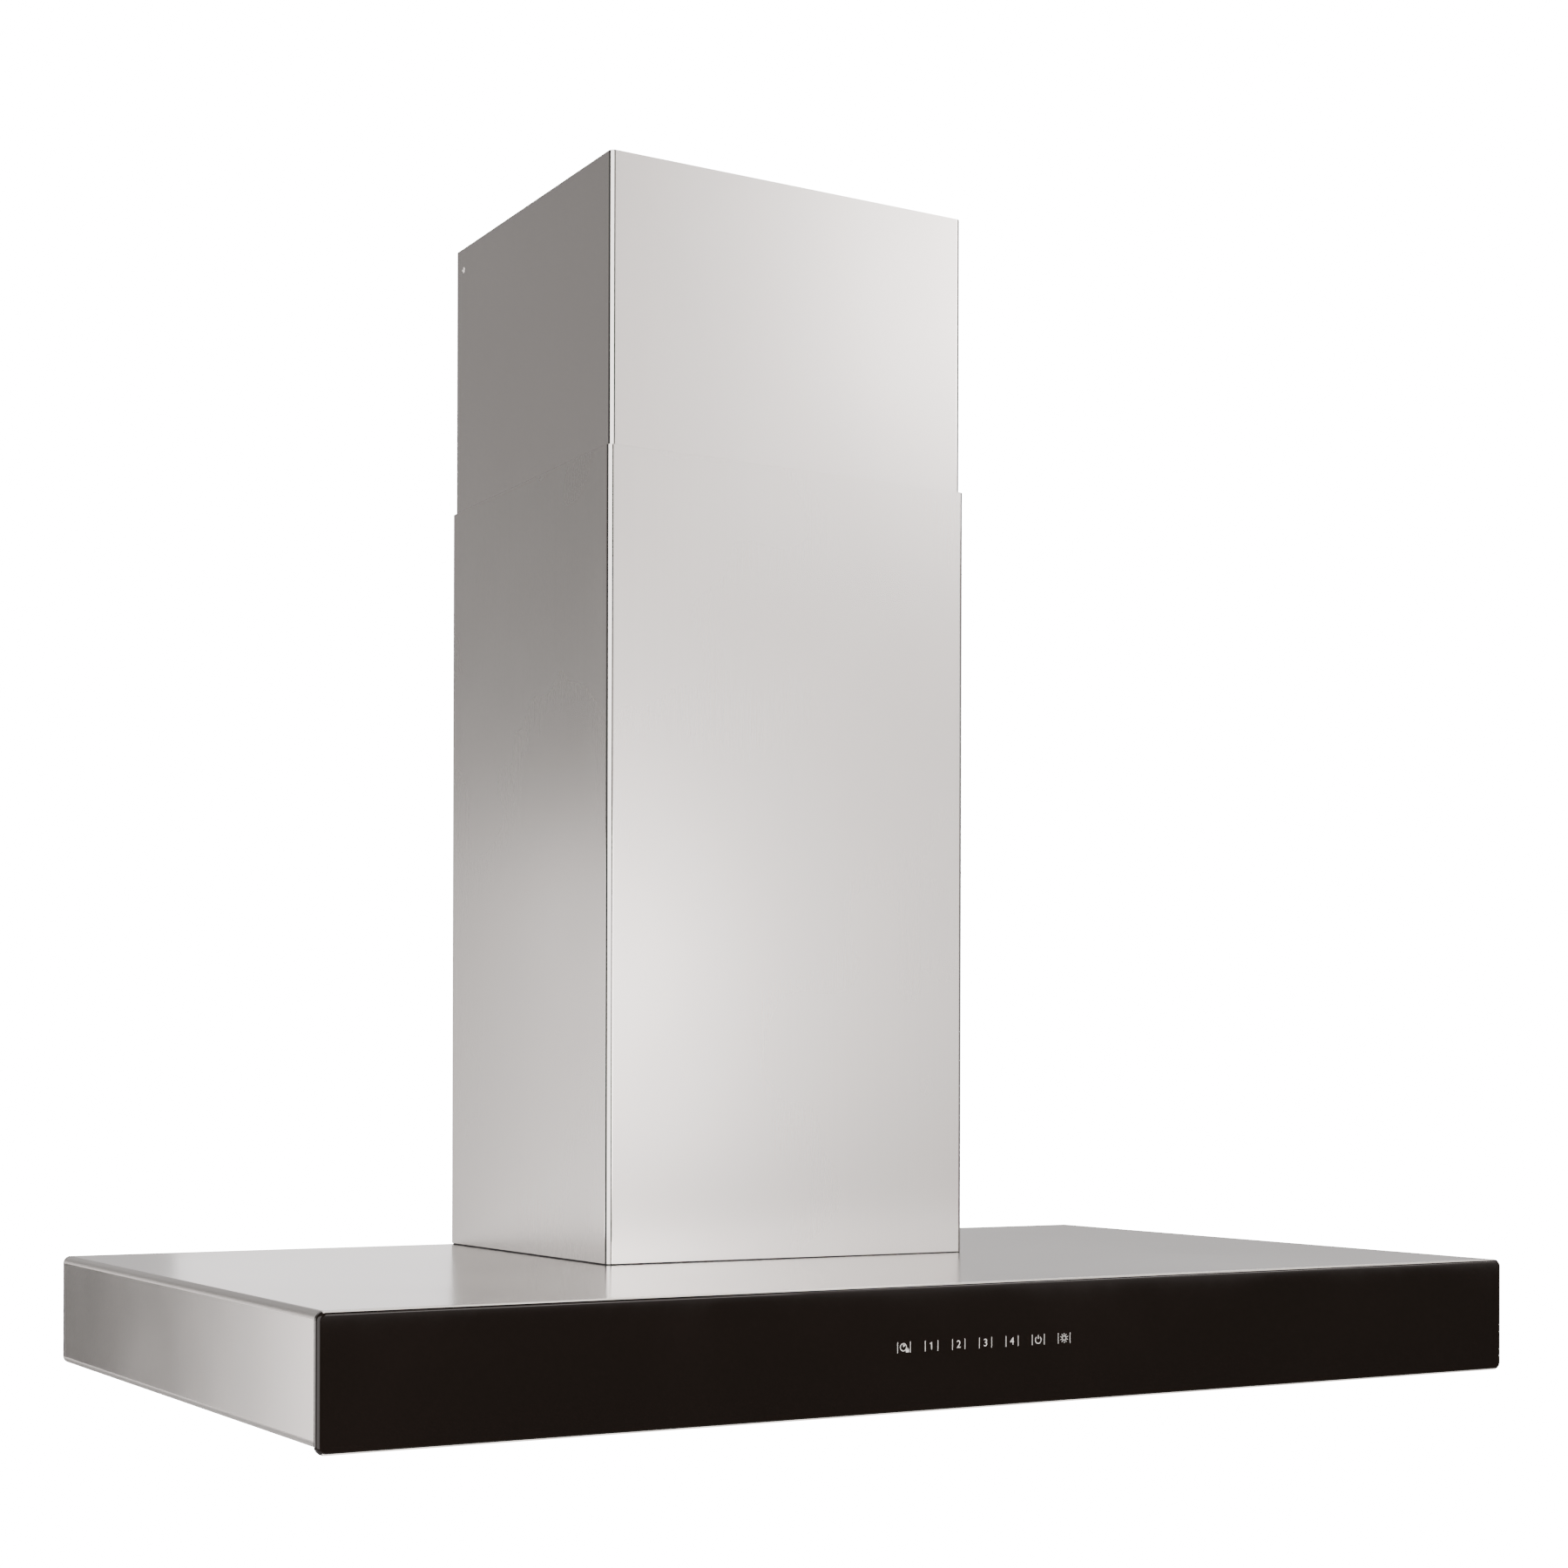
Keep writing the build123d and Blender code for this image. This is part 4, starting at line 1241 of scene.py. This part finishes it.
def duct_collar():
    """Spigot with a rolled bead, a flange, a stop ring for the flaps and eight rivets."""
    low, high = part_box("outlet_collar")
    x, y, _ = centre_of("outlet_collar")
    flange = (high.x - low.x) / 2
    flange_top = low.z + 1 * MM
    wall = flange - 7 * MM
    base = post("base", flange, (x, y), low.z, flange_top, 96)
    tube = post("duct_spigot", wall, (x, y), low.z, high.z, 96)
    modify(tube, "BOOLEAN", operation="UNION", solver="EXACT", object=base)
    bpy.data.objects.remove(base)
    cut(tube, post("bore", wall - 1 * MM, (x, y), low.z - OVERSHOOT, high.z + OVERSHOOT, 96))
    round_edges(tube, 0.3 * MM)
    bead = torus("bead", (x, y, high.z - 9 * MM), wall - 0.3 * MM, 1.1 * MM, 96)
    stop = torus("stop", (x, y, low.z + 17.6 * MM), wall - 3 * MM, 1.7 * MM, 96)
    collar = merge("duct_spigot", [tube, bead, stop])
    even_shading(collar)
    fit_out(collar, "hood", "galvanised_steel", galvanised(), "outlet_collar")
    count = 8
    reach = flange - 3.5 * MM
    places = []
    for i in range(count):
        angle = 2 * math.pi * (i + 0.5) / count
        places.append(((x + reach * math.cos(angle), y + reach * math.sin(angle), flange_top),
                       Z_AXIS))
    rivets = scatter("spigot_rivets", rivet_dome("dome", 2 * MM, 1 * MM), places)
    fit_out(rivets, "hood", "zinc_screws", screw_zinc())


def flap_ribs(side):
    """Pressed ribs on a backdraft flap, longer towards its middle."""
    low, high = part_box("damper_flap_" + side)
    way = -1 if side == "front" else 1
    hinge_y = high.y - 3 * MM if way < 0 else low.y + 3 * MM
    start = hinge_y + way * 9 * MM
    z = (low.z + high.z) / 2 + 0.5 * MM
    half = 2 * MM
    ribs = []
    for x, reach in ((-42 * MM, 50 * MM), (-14 * MM, 62 * MM), (14 * MM, 62 * MM),
                     (42 * MM, 50 * MM)):
        end = hinge_y + way * reach
        rib = add_block("rib", (x - half, min(start, end), z - 0.2 * MM),
                        (x + half, max(start, end), z + 1.1 * MM))
        ribs.append(soften(rib, 1 * MM, 4))
    ribs = merge("flap_ribs_" + side, ribs)
    fit_out(ribs, "flap_" + side, "galvanised_steel", galvanised())


# ---------------------------------------------------------------- fan and motor

def fan_blade(half, y, z, radius):
    """The topmost blade: part of a tube that runs from end ring to end ring."""
    curve = 14 * MM
    centre_y = y + curve * 0.62
    deselect_all()
    bpy.ops.mesh.primitive_circle_add(vertices=40, radius=curve,
                                      location=(-half + 1 * MM, centre_y, z + radius - 13 * MM),
                                      rotation=(0, math.radians(90), 0))
    blade = settle(named("blade"))
    pick(blade, "VERT", lambda vert: vert.co.y > centre_y - curve * 0.45
         or vert.co.z < z + radius - 14 * MM or vert.co.z > z + radius - 1.2 * MM)
    bpy.ops.mesh.delete(type="VERT")
    bpy.ops.mesh.select_all(action="SELECT")
    bpy.ops.mesh.extrude_edges_move(TRANSFORM_OT_translate={"value": (2 * half - 2 * MM, 0, 0)})
    done_editing()
    modify(blade, "SOLIDIFY", thickness=0.8 * MM, offset=0.0)
    return smooth(blade, 40)


def fan_wheel():
    """Double-inlet wheel: two end rings, a pierced disc with its hub, and curved blades."""
    low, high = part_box("fan_wheel")
    _, y, z = centre_of("fan_wheel")
    radius = (high.z - low.z) / 2
    half = (high.x - low.x) / 2
    parts = []
    for side in (-1, 1):
        ring = add_rod("ring", radius, (side * half, y, z), (side * (half - 3 * MM), y, z), 96)
        cut(ring, add_rod("core", radius - 13.5 * MM, (side * (half - 9 * MM), y, z),
                          (side * (half + 9 * MM), y, z), 96))
        parts.append(soften(ring, 0.5 * MM))
    disc_x = 10 * MM
    disc = add_rod("disc", radius - 2 * MM, (disc_x, y, z), (disc_x + 1.5 * MM, y, z), 96)
    holes = 6
    hole_reach = 42 * MM
    for i in range(holes):
        angle = 2 * math.pi * i / holes
        place = Vector((0, y + hole_reach * math.cos(angle), z + hole_reach * math.sin(angle)))
        cut(disc, add_rod("hole", 9 * MM, place, place + X_AXIS * 5 * OVERSHOOT, 32))
    parts.append(soften(disc, 0.3 * MM, 1))
    hub = add_rod("hub", 13 * MM, (disc_x, y, z), (30 * MM, y, z), 48)
    cut(hub, add_rod("bore", 4 * MM, (0, y, z), (5 * OVERSHOOT, y, z), 32))
    parts.append(soften(hub, 0.8 * MM, 3))
    blades = 36
    parts += around(fan_blade(half, y, z, radius), blades, (0, y, z), X_AXIS)
    wheel = merge("blower_wheel", parts)
    fit_out(wheel, "fan", "galvanised_steel", galvanised(), "fan_wheel")


def motor_can():
    """Motor with rounded end bells, two clamp bands, a ribbed middle and a bearing boss."""
    low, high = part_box("motor_body")
    _, y, z = centre_of("motor_body")
    radius = (high.z - low.z) / 2
    can_end = high.x - 5 * MM
    can = add_rod("can", radius - 1 * MM, (low.x, y, z), (can_end, y, z), 72)
    boss = add_rod("boss", 11 * MM, (can_end - 2 * MM, y, z), (high.x, y, z), 48)
    cut(boss, add_rod("bore", 4.05 * MM, (can_end - 9 * MM, y, z), (high.x + 9 * MM, y, z), 32))
    parts = [soften(can, 5 * MM, 6), soften(boss, 0.8 * MM, 3)]
    for x in (low.x + 16 * MM, low.x + 50 * MM):
        band = add_rod("band", radius, (x, y, z), (x + 5 * MM, y, z), 72)
        parts.append(soften(band, 0.8 * MM, 3))
    ribs = 16
    for i in range(ribs):
        rib = add_block("rib", (low.x + 23 * MM, y - 1.5 * MM, z + radius - 3 * MM),
                        (low.x + 48 * MM, y + 1.5 * MM, z + radius - 0.3 * MM))
        rib.data.transform(turned_about((0, y, z), X_AXIS, 2 * math.pi * i / ribs))
        parts.append(soften(rib, 0.5 * MM))
    motor = merge("motor_can", parts)
    fit_out(motor, "hood", "motor_enamel", motor_enamel(), "motor_body")


# ---------------------------------------------------------------- electrics

def control_case():
    """Moulded control box, open at the top, with ribs down its rear."""
    low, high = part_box("control_box")
    case = add_block("control_case", low, high)
    bevel_edges(case, lambda edge: along(edge, Z_AXIS), 4 * MM, 5)
    wall = Vector((2 * MM, 2 * MM, 2 * MM))
    cut(case, add_block("room", low + wall, high - wall + Vector((0, 0, 9 * MM))))
    parts = [soften(case, 0.5 * MM)]
    ribs = 9
    half = 0.7 * MM
    for i in range(ribs):
        x = low.x + (high.x - low.x) * (i + 1) / (ribs + 1)
        rib = add_block("rib", (x - half, high.y - 0.5 * MM, low.z + 3 * MM),
                        (x + half, high.y + 0.8 * MM, high.z - 4 * MM))
        parts.append(soften(rib, 0.3 * MM, 1))
    case = merge("control_case", parts)
    fit_out(case, "hood", "black_plastic", black_plastic(), "control_box")


def control_cover():
    """The control box's lid with the gland's hole and four corner screws."""
    low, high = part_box("control_lid")
    lid = add_block("control_cover", low, high)
    bevel_edges(lid, lambda edge: along(edge, Z_AXIS), 4.5 * MM, 5)
    gland_low, gland_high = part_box("cable_gland")
    gland = (gland_low + gland_high) / 2
    cut(lid, post("hole", 8 * MM, gland[:2], low.z - OVERSHOOT, high.z + OVERSHOOT, 48))
    soften(lid, 0.6 * MM, 3)
    fit_out(lid, "hood", "black_plastic", black_plastic(), "control_lid")
    inset = 6 * MM
    places = [((x, y, high.z), Z_AXIS) for x in (low.x + inset, high.x - inset)
              for y in (low.y + inset, high.y - inset)]
    heads = scatter("control_screw_heads", pan_head("head", 2.6 * MM, 1.5 * MM), places)
    fit_out(heads, "hood", "zinc_screws", screw_zinc())


def cable_gland():
    """Gland: hexagon body, ribbed dome nut and a rubber seal round an open throat."""
    low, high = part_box("cable_gland")
    x, y, _ = centre_of("cable_gland")
    place = (x, y)
    hexagon_top = high.z - 9 * MM
    thread = post("thread", 7.8 * MM, place, low.z, hexagon_top, 48)
    hexagon = post("hexagon", 12 * MM, place, hexagon_top - 5 * MM, hexagon_top, 6)
    soften(hexagon, 0.7 * MM, 3)
    nut = post("nut", 9 * MM, place, hexagon_top, high.z, 48)
    bevel_edges(nut, lambda edge: near(middle(edge).z, high.z), 3.4 * MM, 6)
    ends = (low.z - OVERSHOOT, high.z + OVERSHOOT)
    parts = [cut(part, post("throat", 5 * MM, place, *ends, 48))
             for part in (thread, hexagon, nut)]
    ribs = 14
    for i in range(ribs):
        rib = add_block("rib", (x + 8.5 * MM, y - 0.7 * MM, hexagon_top + 1 * MM),
                        (x + 9.7 * MM, y + 0.7 * MM, high.z - 3.6 * MM))
        rib.data.transform(turned_about((x, y, 0), Z_AXIS, 2 * math.pi * i / ribs))
        parts.append(soften(rib, 0.3 * MM, 1))
    gland = merge("supply_gland", parts)
    even_shading(gland)
    fit_out(gland, "hood", "grey_plastic", grey_plastic(), "cable_gland")
    seal = post("gland_seal", 5 * MM, place, high.z - 7 * MM, high.z - 0.6 * MM, 48)
    cut(seal, post("throat", 4 * MM, place, *ends, 48))
    soften(seal, 0.4 * MM)
    fit_out(seal, "hood", "grommet_rubber", black_rubber())


def capacitor():
    """Run capacitor: drawn can with a rolled rim, clamp band, plastic cap and two blades."""
    low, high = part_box("capacitor")
    x, y, _ = centre_of("capacitor")
    place = (x, y)
    radius = (high.x - low.x) / 2
    top = high.z - 4 * MM
    can = post("can", radius - 0.6 * MM, place, low.z, top - 1 * MM, 64)
    rim = torus("rim", (x, y, top - 1.4 * MM), radius - 1.3 * MM, 1.2 * MM, 64)
    band = post("band", radius, place, low.z + 18 * MM, low.z + 28 * MM, 64)
    can = merge("capacitor_can", [soften(can, 1.2 * MM, 4), smooth(rim, 60),
                                  soften(band, 0.3 * MM)])
    fit_out(can, "hood", "capacitor_can", drawn_aluminium(), "capacitor")
    cap = post("capacitor_cap", radius - 3 * MM, place, top - 3 * MM, top + 0.5 * MM, 48)
    soften(cap, 0.5 * MM)
    fit_out(cap, "hood", "black_plastic", black_plastic())
    blades = []
    for blade_x in (x - 5 * MM, x + 5 * MM):
        blade = add_block("blade", (blade_x - 0.4 * MM, y - 3.1 * MM, top),
                          (blade_x + 0.4 * MM, y + 3.1 * MM, high.z))
        blades.append(soften(blade, 0.15 * MM, 1))
    blades = merge("capacitor_blades", blades)
    fit_out(blades, "hood", "zinc_screws", screw_zinc())


# ---------------------------------------------------------------- finishes

def screw_zinc():
    return plain_metal("Zinc-plated screw", (0.60, 0.60, 0.57), 0.28)


def filter_steel():
    return brushed_steel("Filter steel", (0.60, 0.60, 0.60), (1800, 20, 1800), 0.24, 0.04)


def inner_steel():
    return brushed_steel("Inner steel", (0.56, 0.56, 0.56), (24, 1500, 1500), 0.32, 0.05)


def satin_chrome():
    return plain_metal("Satin chrome", (0.72, 0.72, 0.73), 0.16)


def ground_steel():
    return plain_metal("Ground steel", (0.55, 0.55, 0.56), 0.18, mark_scale=200.0)


def cast_aluminium():
    return plain_metal("Cast aluminium", (0.58, 0.59, 0.60), 0.42, mark_scale=90.0)


def drawn_aluminium():
    return plain_metal("Drawn aluminium", (0.68, 0.69, 0.70), 0.26, mark_scale=60.0)


def motor_enamel():
    return moulded_plastic("Motor enamel", (0.022, 0.022, 0.025), 0.32, 500.0)


def latch_nylon():
    return moulded_plastic("Latch nylon", (0.018, 0.018, 0.020), 0.45)


def black_plastic():
    return moulded_plastic("Black plastic", (0.020, 0.020, 0.022), 0.42)


def grey_plastic():
    return moulded_plastic("Grey plastic", (0.23, 0.24, 0.25), 0.45)


def white_nylon():
    return moulded_plastic("White nylon", (0.72, 0.72, 0.69), 0.42)


def black_rubber():
    return moulded_plastic("Black rubber", (0.016, 0.016, 0.016), 0.7, 1500.0)


def foam_tape():
    return moulded_plastic("Foam tape", (0.012, 0.012, 0.012), 0.9, 2500.0)


def circuit_board():
    """Green solder mask with faint tracks."""
    material, tree, shader, place = new_material("Circuit board")
    tracks = tree.nodes.new("ShaderNodeTexBrick")
    tracks.inputs["Scale"].default_value = 240.0
    tracks.inputs["Mortar Size"].default_value = 0.03
    tracks.inputs["Color1"].default_value = (0.012, 0.09, 0.035, 1)
    tracks.inputs["Color2"].default_value = (0.010, 0.07, 0.03, 1)
    tracks.inputs["Mortar"].default_value = (0.03, 0.17, 0.07, 1)
    wire(tree, place, tracks.inputs["Vector"])
    wire(tree, tracks.outputs["Color"], shader.inputs["Base Color"])
    shader.inputs["Roughness"].default_value = 0.3
    return material


def opal_lens():
    """Opal diffuser with a faint glow."""
    name = "Opal lens"
    if name in bpy.data.materials:
        return bpy.data.materials[name]
    material, tree, shader, place = new_material(name)
    marks = use_group(tree, handling_marks(), place, scale=50.0)
    wire(tree, shade_mix(tree, marks.outputs["Mask"], (0.86, 0.85, 0.81), (0.80, 0.79, 0.75)),
         shader.inputs["Base Color"])
    shader.inputs["Roughness"].default_value = 0.28
    shader.inputs["Emission Color"].default_value = (1.0, 0.93, 0.82, 1)
    shader.inputs["Emission Strength"].default_value = 0.25
    return material


def finish_cad_nodes():
    """Gives the CAD nodes that stay their finishes."""
    finishes = {
        canopy_steel: ("underside_panel",),
        inner_steel: ("front_rail", "back_panel", "guard_frame", "guard_wires"),
        galvanised: ("cover_feet", "blower_base", "blower_box", "blower_lid", "scroll_wrap",
                     "scroll_side_left", "scroll_side_right", "motor_bracket",
                     "damper_flap_front", "damper_flap_rear"),
        ground_steel: ("touch_sensors", "motor_shaft", "damper_rod"),
        foam_tape: ("glass_tape",),
        circuit_board: ("touch_board",),
        black_plastic: ("touch_housing",),
        grey_plastic: ("led_driver", "terminal_block"),
        white_nylon: ("glide_strips",),
        black_rubber: ("motor_grommets",),
    }
    for finish, names in finishes.items():
        for name in names:
            NODES[name].material_slots[0].material = finish()


# ---------------------------------------------------------------- stage

WARM = (1.0, 0.945, 0.925)
SOFT = (1.0, 0.965, 0.96)
WHITE_GLOW = 22.0  # bright enough to reach plain white


def add_camera():
    """Camera of the main view."""
    stage = hood_stage()
    deselect_all()
    bpy.ops.object.camera_add(location=stage.camera_place)
    camera = bpy.context.object
    camera.name = "studio_camera"
    turn = Matrix.Rotation(-stage.turn, 4, "Z") @ Matrix.Rotation(math.radians(90), 4, "X")
    camera.rotation_euler = (turn @ Matrix.Rotation(stage.roll, 4, "Z")).to_euler()
    camera.data.lens = stage.lens
    camera.data.sensor_width = 36.0
    camera.data.shift_y = stage.shift
    camera.data.clip_start = 0.05
    camera.data.clip_end = 200.0
    bpy.context.scene.camera = camera


def camera_sees(tree, seen, lit, output):
    """Shows one shader to the camera and another to every other ray."""
    path = tree.nodes.new("ShaderNodeLightPath")
    choice = tree.nodes.new("ShaderNodeMixShader")
    wire(tree, path.outputs["Is Camera Ray"], choice.inputs["Fac"])
    wire(tree, lit, choice.inputs[1])
    wire(tree, seen, choice.inputs[2])
    wire(tree, choice.outputs["Shader"], tree.nodes[output].inputs["Surface"])


def add_floor():
    """Matt floor that glows plain white to the camera only."""
    deselect_all()
    bpy.ops.mesh.primitive_plane_add(size=120, location=(0, 0, -hood_stage().floor_drop))
    floor = settle(named("studio_floor"))
    material, tree, shader, place = new_material("Studio floor")
    base = hood_colours().floor
    wire(tree, shade_mix(tree, noise(tree, place, 2.0, 2.0), tinted(base, 0.995), base),
         shader.inputs["Base Color"])
    shader.inputs["Roughness"].default_value = 0.9
    glow = tree.nodes.new("ShaderNodeEmission")
    glow.inputs["Strength"].default_value = WHITE_GLOW
    glowing = tree.nodes.new("ShaderNodeAddShader")
    wire(tree, shader.outputs["BSDF"], glowing.inputs[0])
    wire(tree, glow.outputs["Emission"], glowing.inputs[1])
    camera_sees(tree, glowing.outputs["Shader"], shader.outputs["BSDF"], "Material Output")
    floor.data.materials.append(material)


def add_world():
    """Dim studio air that lights the hood, seen as plain white by the camera."""
    world = bpy.data.worlds.new("Studio")
    bpy.context.scene.world = world
    world.use_nodes = True
    tree = world.node_tree
    lit = tree.nodes["Background"]
    lit.inputs["Color"].default_value = (1.0, 0.97, 0.94, 1)
    lit.inputs["Strength"].default_value = 0.08
    seen = tree.nodes.new("ShaderNodeBackground")
    seen.inputs["Strength"].default_value = WHITE_GLOW
    camera_sees(tree, seen.outputs["Background"], lit.outputs["Background"], "World Output")


def soft_box(name, place, way, width, height, radiance, tint):
    """A rectangular studio light that faces a given way, as bright as its radiance says."""
    deselect_all()
    bpy.ops.object.light_add(type="AREA", location=place)
    light = bpy.context.object
    light.name = name
    light.rotation_euler = Vector(way).to_track_quat("-Z", "Y").to_euler()
    light.data.shape = "RECTANGLE"
    light.data.size = width
    light.data.size_y = height
    light.data.energy = radiance * math.pi * width * height
    light.data.color = tint
    light.visible_camera = False


def add_lights():
    """Soft boxes that the steel mirrors: in front, at the left corner, behind and around."""
    to_wall = Y_AXIS
    from_wall = -Y_AXIS
    to_corner = Vector((0.766, 0.643, 0))
    soft_box("front_box", (1.95, -3.3, 1.16), to_wall, 2.9, 2.7, 1.55, WARM)
    soft_box("front_low_box", (0.98, -3.2, 0.34), to_wall, 0.95, 0.7, 7.5, WARM)
    soft_box("front_high_box", (2.9, -3.1, 2.3), to_wall, 2.0, 1.5, 8.0, WARM)
    soft_box("key_box", (-2.45, -2.2, 0.6), to_corner, 4.4, 3.4, 4.2, SOFT)
    soft_box("left_low_box", (-3.36, 4.0, -0.62), from_wall, 2.5, 1.0, 3.9, WARM)
    soft_box("left_box", (-3.2, 4.0, 0.36), from_wall, 2.5, 0.96, 2.1, WARM)
    soft_box("left_high_box", (-2.6, 4.0, 2.1), from_wall, 3.3, 2.36, 0.26, WARM)
    soft_box("back_left_box", (-0.1, 4.2, 1.1), from_wall, 2.1, 2.8, 0.7, SOFT)
    soft_box("back_box", (1.95, 4.2, 1.1), from_wall, 2.0, 2.8, 1.9, SOFT)
    soft_box("back_right_box", (4.6, 4.2, 1.1), from_wall, 3.3, 2.8, 0.72, SOFT)
    soft_box("overhead_box", (0.2, -0.6, 3.2), -Z_AXIS, 2.6, 2.2, 0.7, SOFT)
    soft_box("right_fill", (4.4, -0.5, 1.0), -X_AXIS, 3.0, 2.6, 0.5, SOFT)
    soft_box("floor_bounce", (-0.9, 0.9, -1.5), Z_AXIS, 4.5, 3.5, 0.7, SOFT)


# ---------------------------------------------------------------- operators

class HOOD_OT_canopy(bpy.types.Operator):
    """Model the canopy's folded shell and its screws"""

    bl_idname = "hood.canopy"
    bl_label = "Canopy"

    def execute(self, context):
        canopy_skin()
        canopy_screw_heads()
        return {"FINISHED"}


class HOOD_OT_covers(bpy.types.Operator):
    """Model both chimney covers and their screws"""

    bl_idname = "hood.covers"
    bl_label = "Chimney covers"

    def execute(self, context):
        lower_cover()
        cover_gasket()
        upper_cover()
        cover_screw_heads()
        return {"FINISHED"}


class HOOD_OT_glass(bpy.types.Operator):
    """Model the front glass"""

    bl_idname = "hood.glass"
    bl_label = "Front glass"

    def execute(self, context):
        glass_pane()
        return {"FINISHED"}


class HOOD_OT_icons(bpy.types.Operator):
    """Print the touch icons on the glass"""

    bl_idname = "hood.icons"
    bl_label = "Touch icons"

    def execute(self, context):
        touch_icons()
        return {"FINISHED"}


class HOOD_OT_filters(bpy.types.Operator):
    """Model the three baffle filters with their latches"""

    bl_idname = "hood.filters"
    bl_label = "Baffle filters"

    def execute(self, context):
        for side in FILTERS:
            filter_rim(side)
            filter_slats(side)
            filter_pull(side)
            filter_latch(side)
            latch_spring(side)
        return {"FINISHED"}


class HOOD_OT_lamps(bpy.types.Operator):
    """Model the two lamps"""

    bl_idname = "hood.lamps"
    bl_label = "Lamps"

    def execute(self, context):
        for side in SIDES:
            lamp(side)
        return {"FINISHED"}


class HOOD_OT_blower(bpy.types.Operator):
    """Model the blower box, its duct collar and the backdraft flaps"""

    bl_idname = "hood.blower"
    bl_label = "Blower box"

    def execute(self, context):
        rear_cover()
        blower_screw_heads()
        duct_collar()
        for side in ("front", "rear"):
            flap_ribs(side)
        return {"FINISHED"}


class HOOD_OT_fan(bpy.types.Operator):
    """Model the fan wheel and its motor"""

    bl_idname = "hood.fan"
    bl_label = "Fan and motor"

    def execute(self, context):
        fan_wheel()
        motor_can()
        return {"FINISHED"}


class HOOD_OT_electrics(bpy.types.Operator):
    """Model the control box, the supply gland and the capacitor"""

    bl_idname = "hood.electrics"
    bl_label = "Electrics"

    def execute(self, context):
        control_case()
        control_cover()
        cable_gland()
        capacitor()
        return {"FINISHED"}


class HOOD_OT_finishes(bpy.types.Operator):
    """Give the pieces carried over from the frame their finishes"""

    bl_idname = "hood.finishes"
    bl_label = "Finishes"

    def execute(self, context):
        finish_cad_nodes()
        return {"FINISHED"}


class HOOD_OT_stage(bpy.types.Operator):
    """Set up the camera, the floor and the studio lights"""

    bl_idname = "hood.stage"
    bl_label = "Studio stage"

    def execute(self, context):
        add_camera()
        add_floor()
        add_world()
        add_lights()
        return {"FINISHED"}


class HOOD_PT_pieces(bpy.types.Panel):
    """Lists the hood's pieces in the sidebar"""

    bl_idname = "HOOD_PT_pieces"
    bl_label = "Wall range hood"
    bl_space_type = "VIEW_3D"
    bl_region_type = "UI"
    bl_category = "Hood"

    def draw(self, context):
        for operator in OPERATORS:
            self.layout.operator(operator.bl_idname)
        for group in (context.scene.hood_sizes, context.scene.hood_colours,
                      context.scene.hood_stage):
            box = self.layout.box()
            for name in group.__annotations__:
                box.prop(group, name)


OPERATORS = (HOOD_OT_canopy, HOOD_OT_covers, HOOD_OT_glass, HOOD_OT_icons, HOOD_OT_filters,
             HOOD_OT_lamps, HOOD_OT_blower, HOOD_OT_fan, HOOD_OT_electrics, HOOD_OT_finishes,
             HOOD_OT_stage)
CLASSES = (HoodSizes, HoodColours, HoodStage, *OPERATORS, HOOD_PT_pieces)


def register():
    for cls in CLASSES:
        bpy.utils.register_class(cls)
    bpy.types.Scene.hood_sizes = PointerProperty(type=HoodSizes)
    bpy.types.Scene.hood_colours = PointerProperty(type=HoodColours)
    bpy.types.Scene.hood_stage = PointerProperty(type=HoodStage)


def unregister():
    del bpy.types.Scene.hood_stage
    del bpy.types.Scene.hood_colours
    del bpy.types.Scene.hood_sizes
    for cls in reversed(CLASSES):
        bpy.utils.unregister_class(cls)


def main():
    register()
    bpy.ops.hood.canopy()
    bpy.ops.hood.covers()
    bpy.ops.hood.glass()
    bpy.ops.hood.icons()
    bpy.ops.hood.filters()
    bpy.ops.hood.lamps()
    bpy.ops.hood.blower()
    bpy.ops.hood.fan()
    bpy.ops.hood.electrics()
    bpy.ops.hood.finishes()
    bpy.ops.hood.stage()


if __name__ == "__main__":
    main()
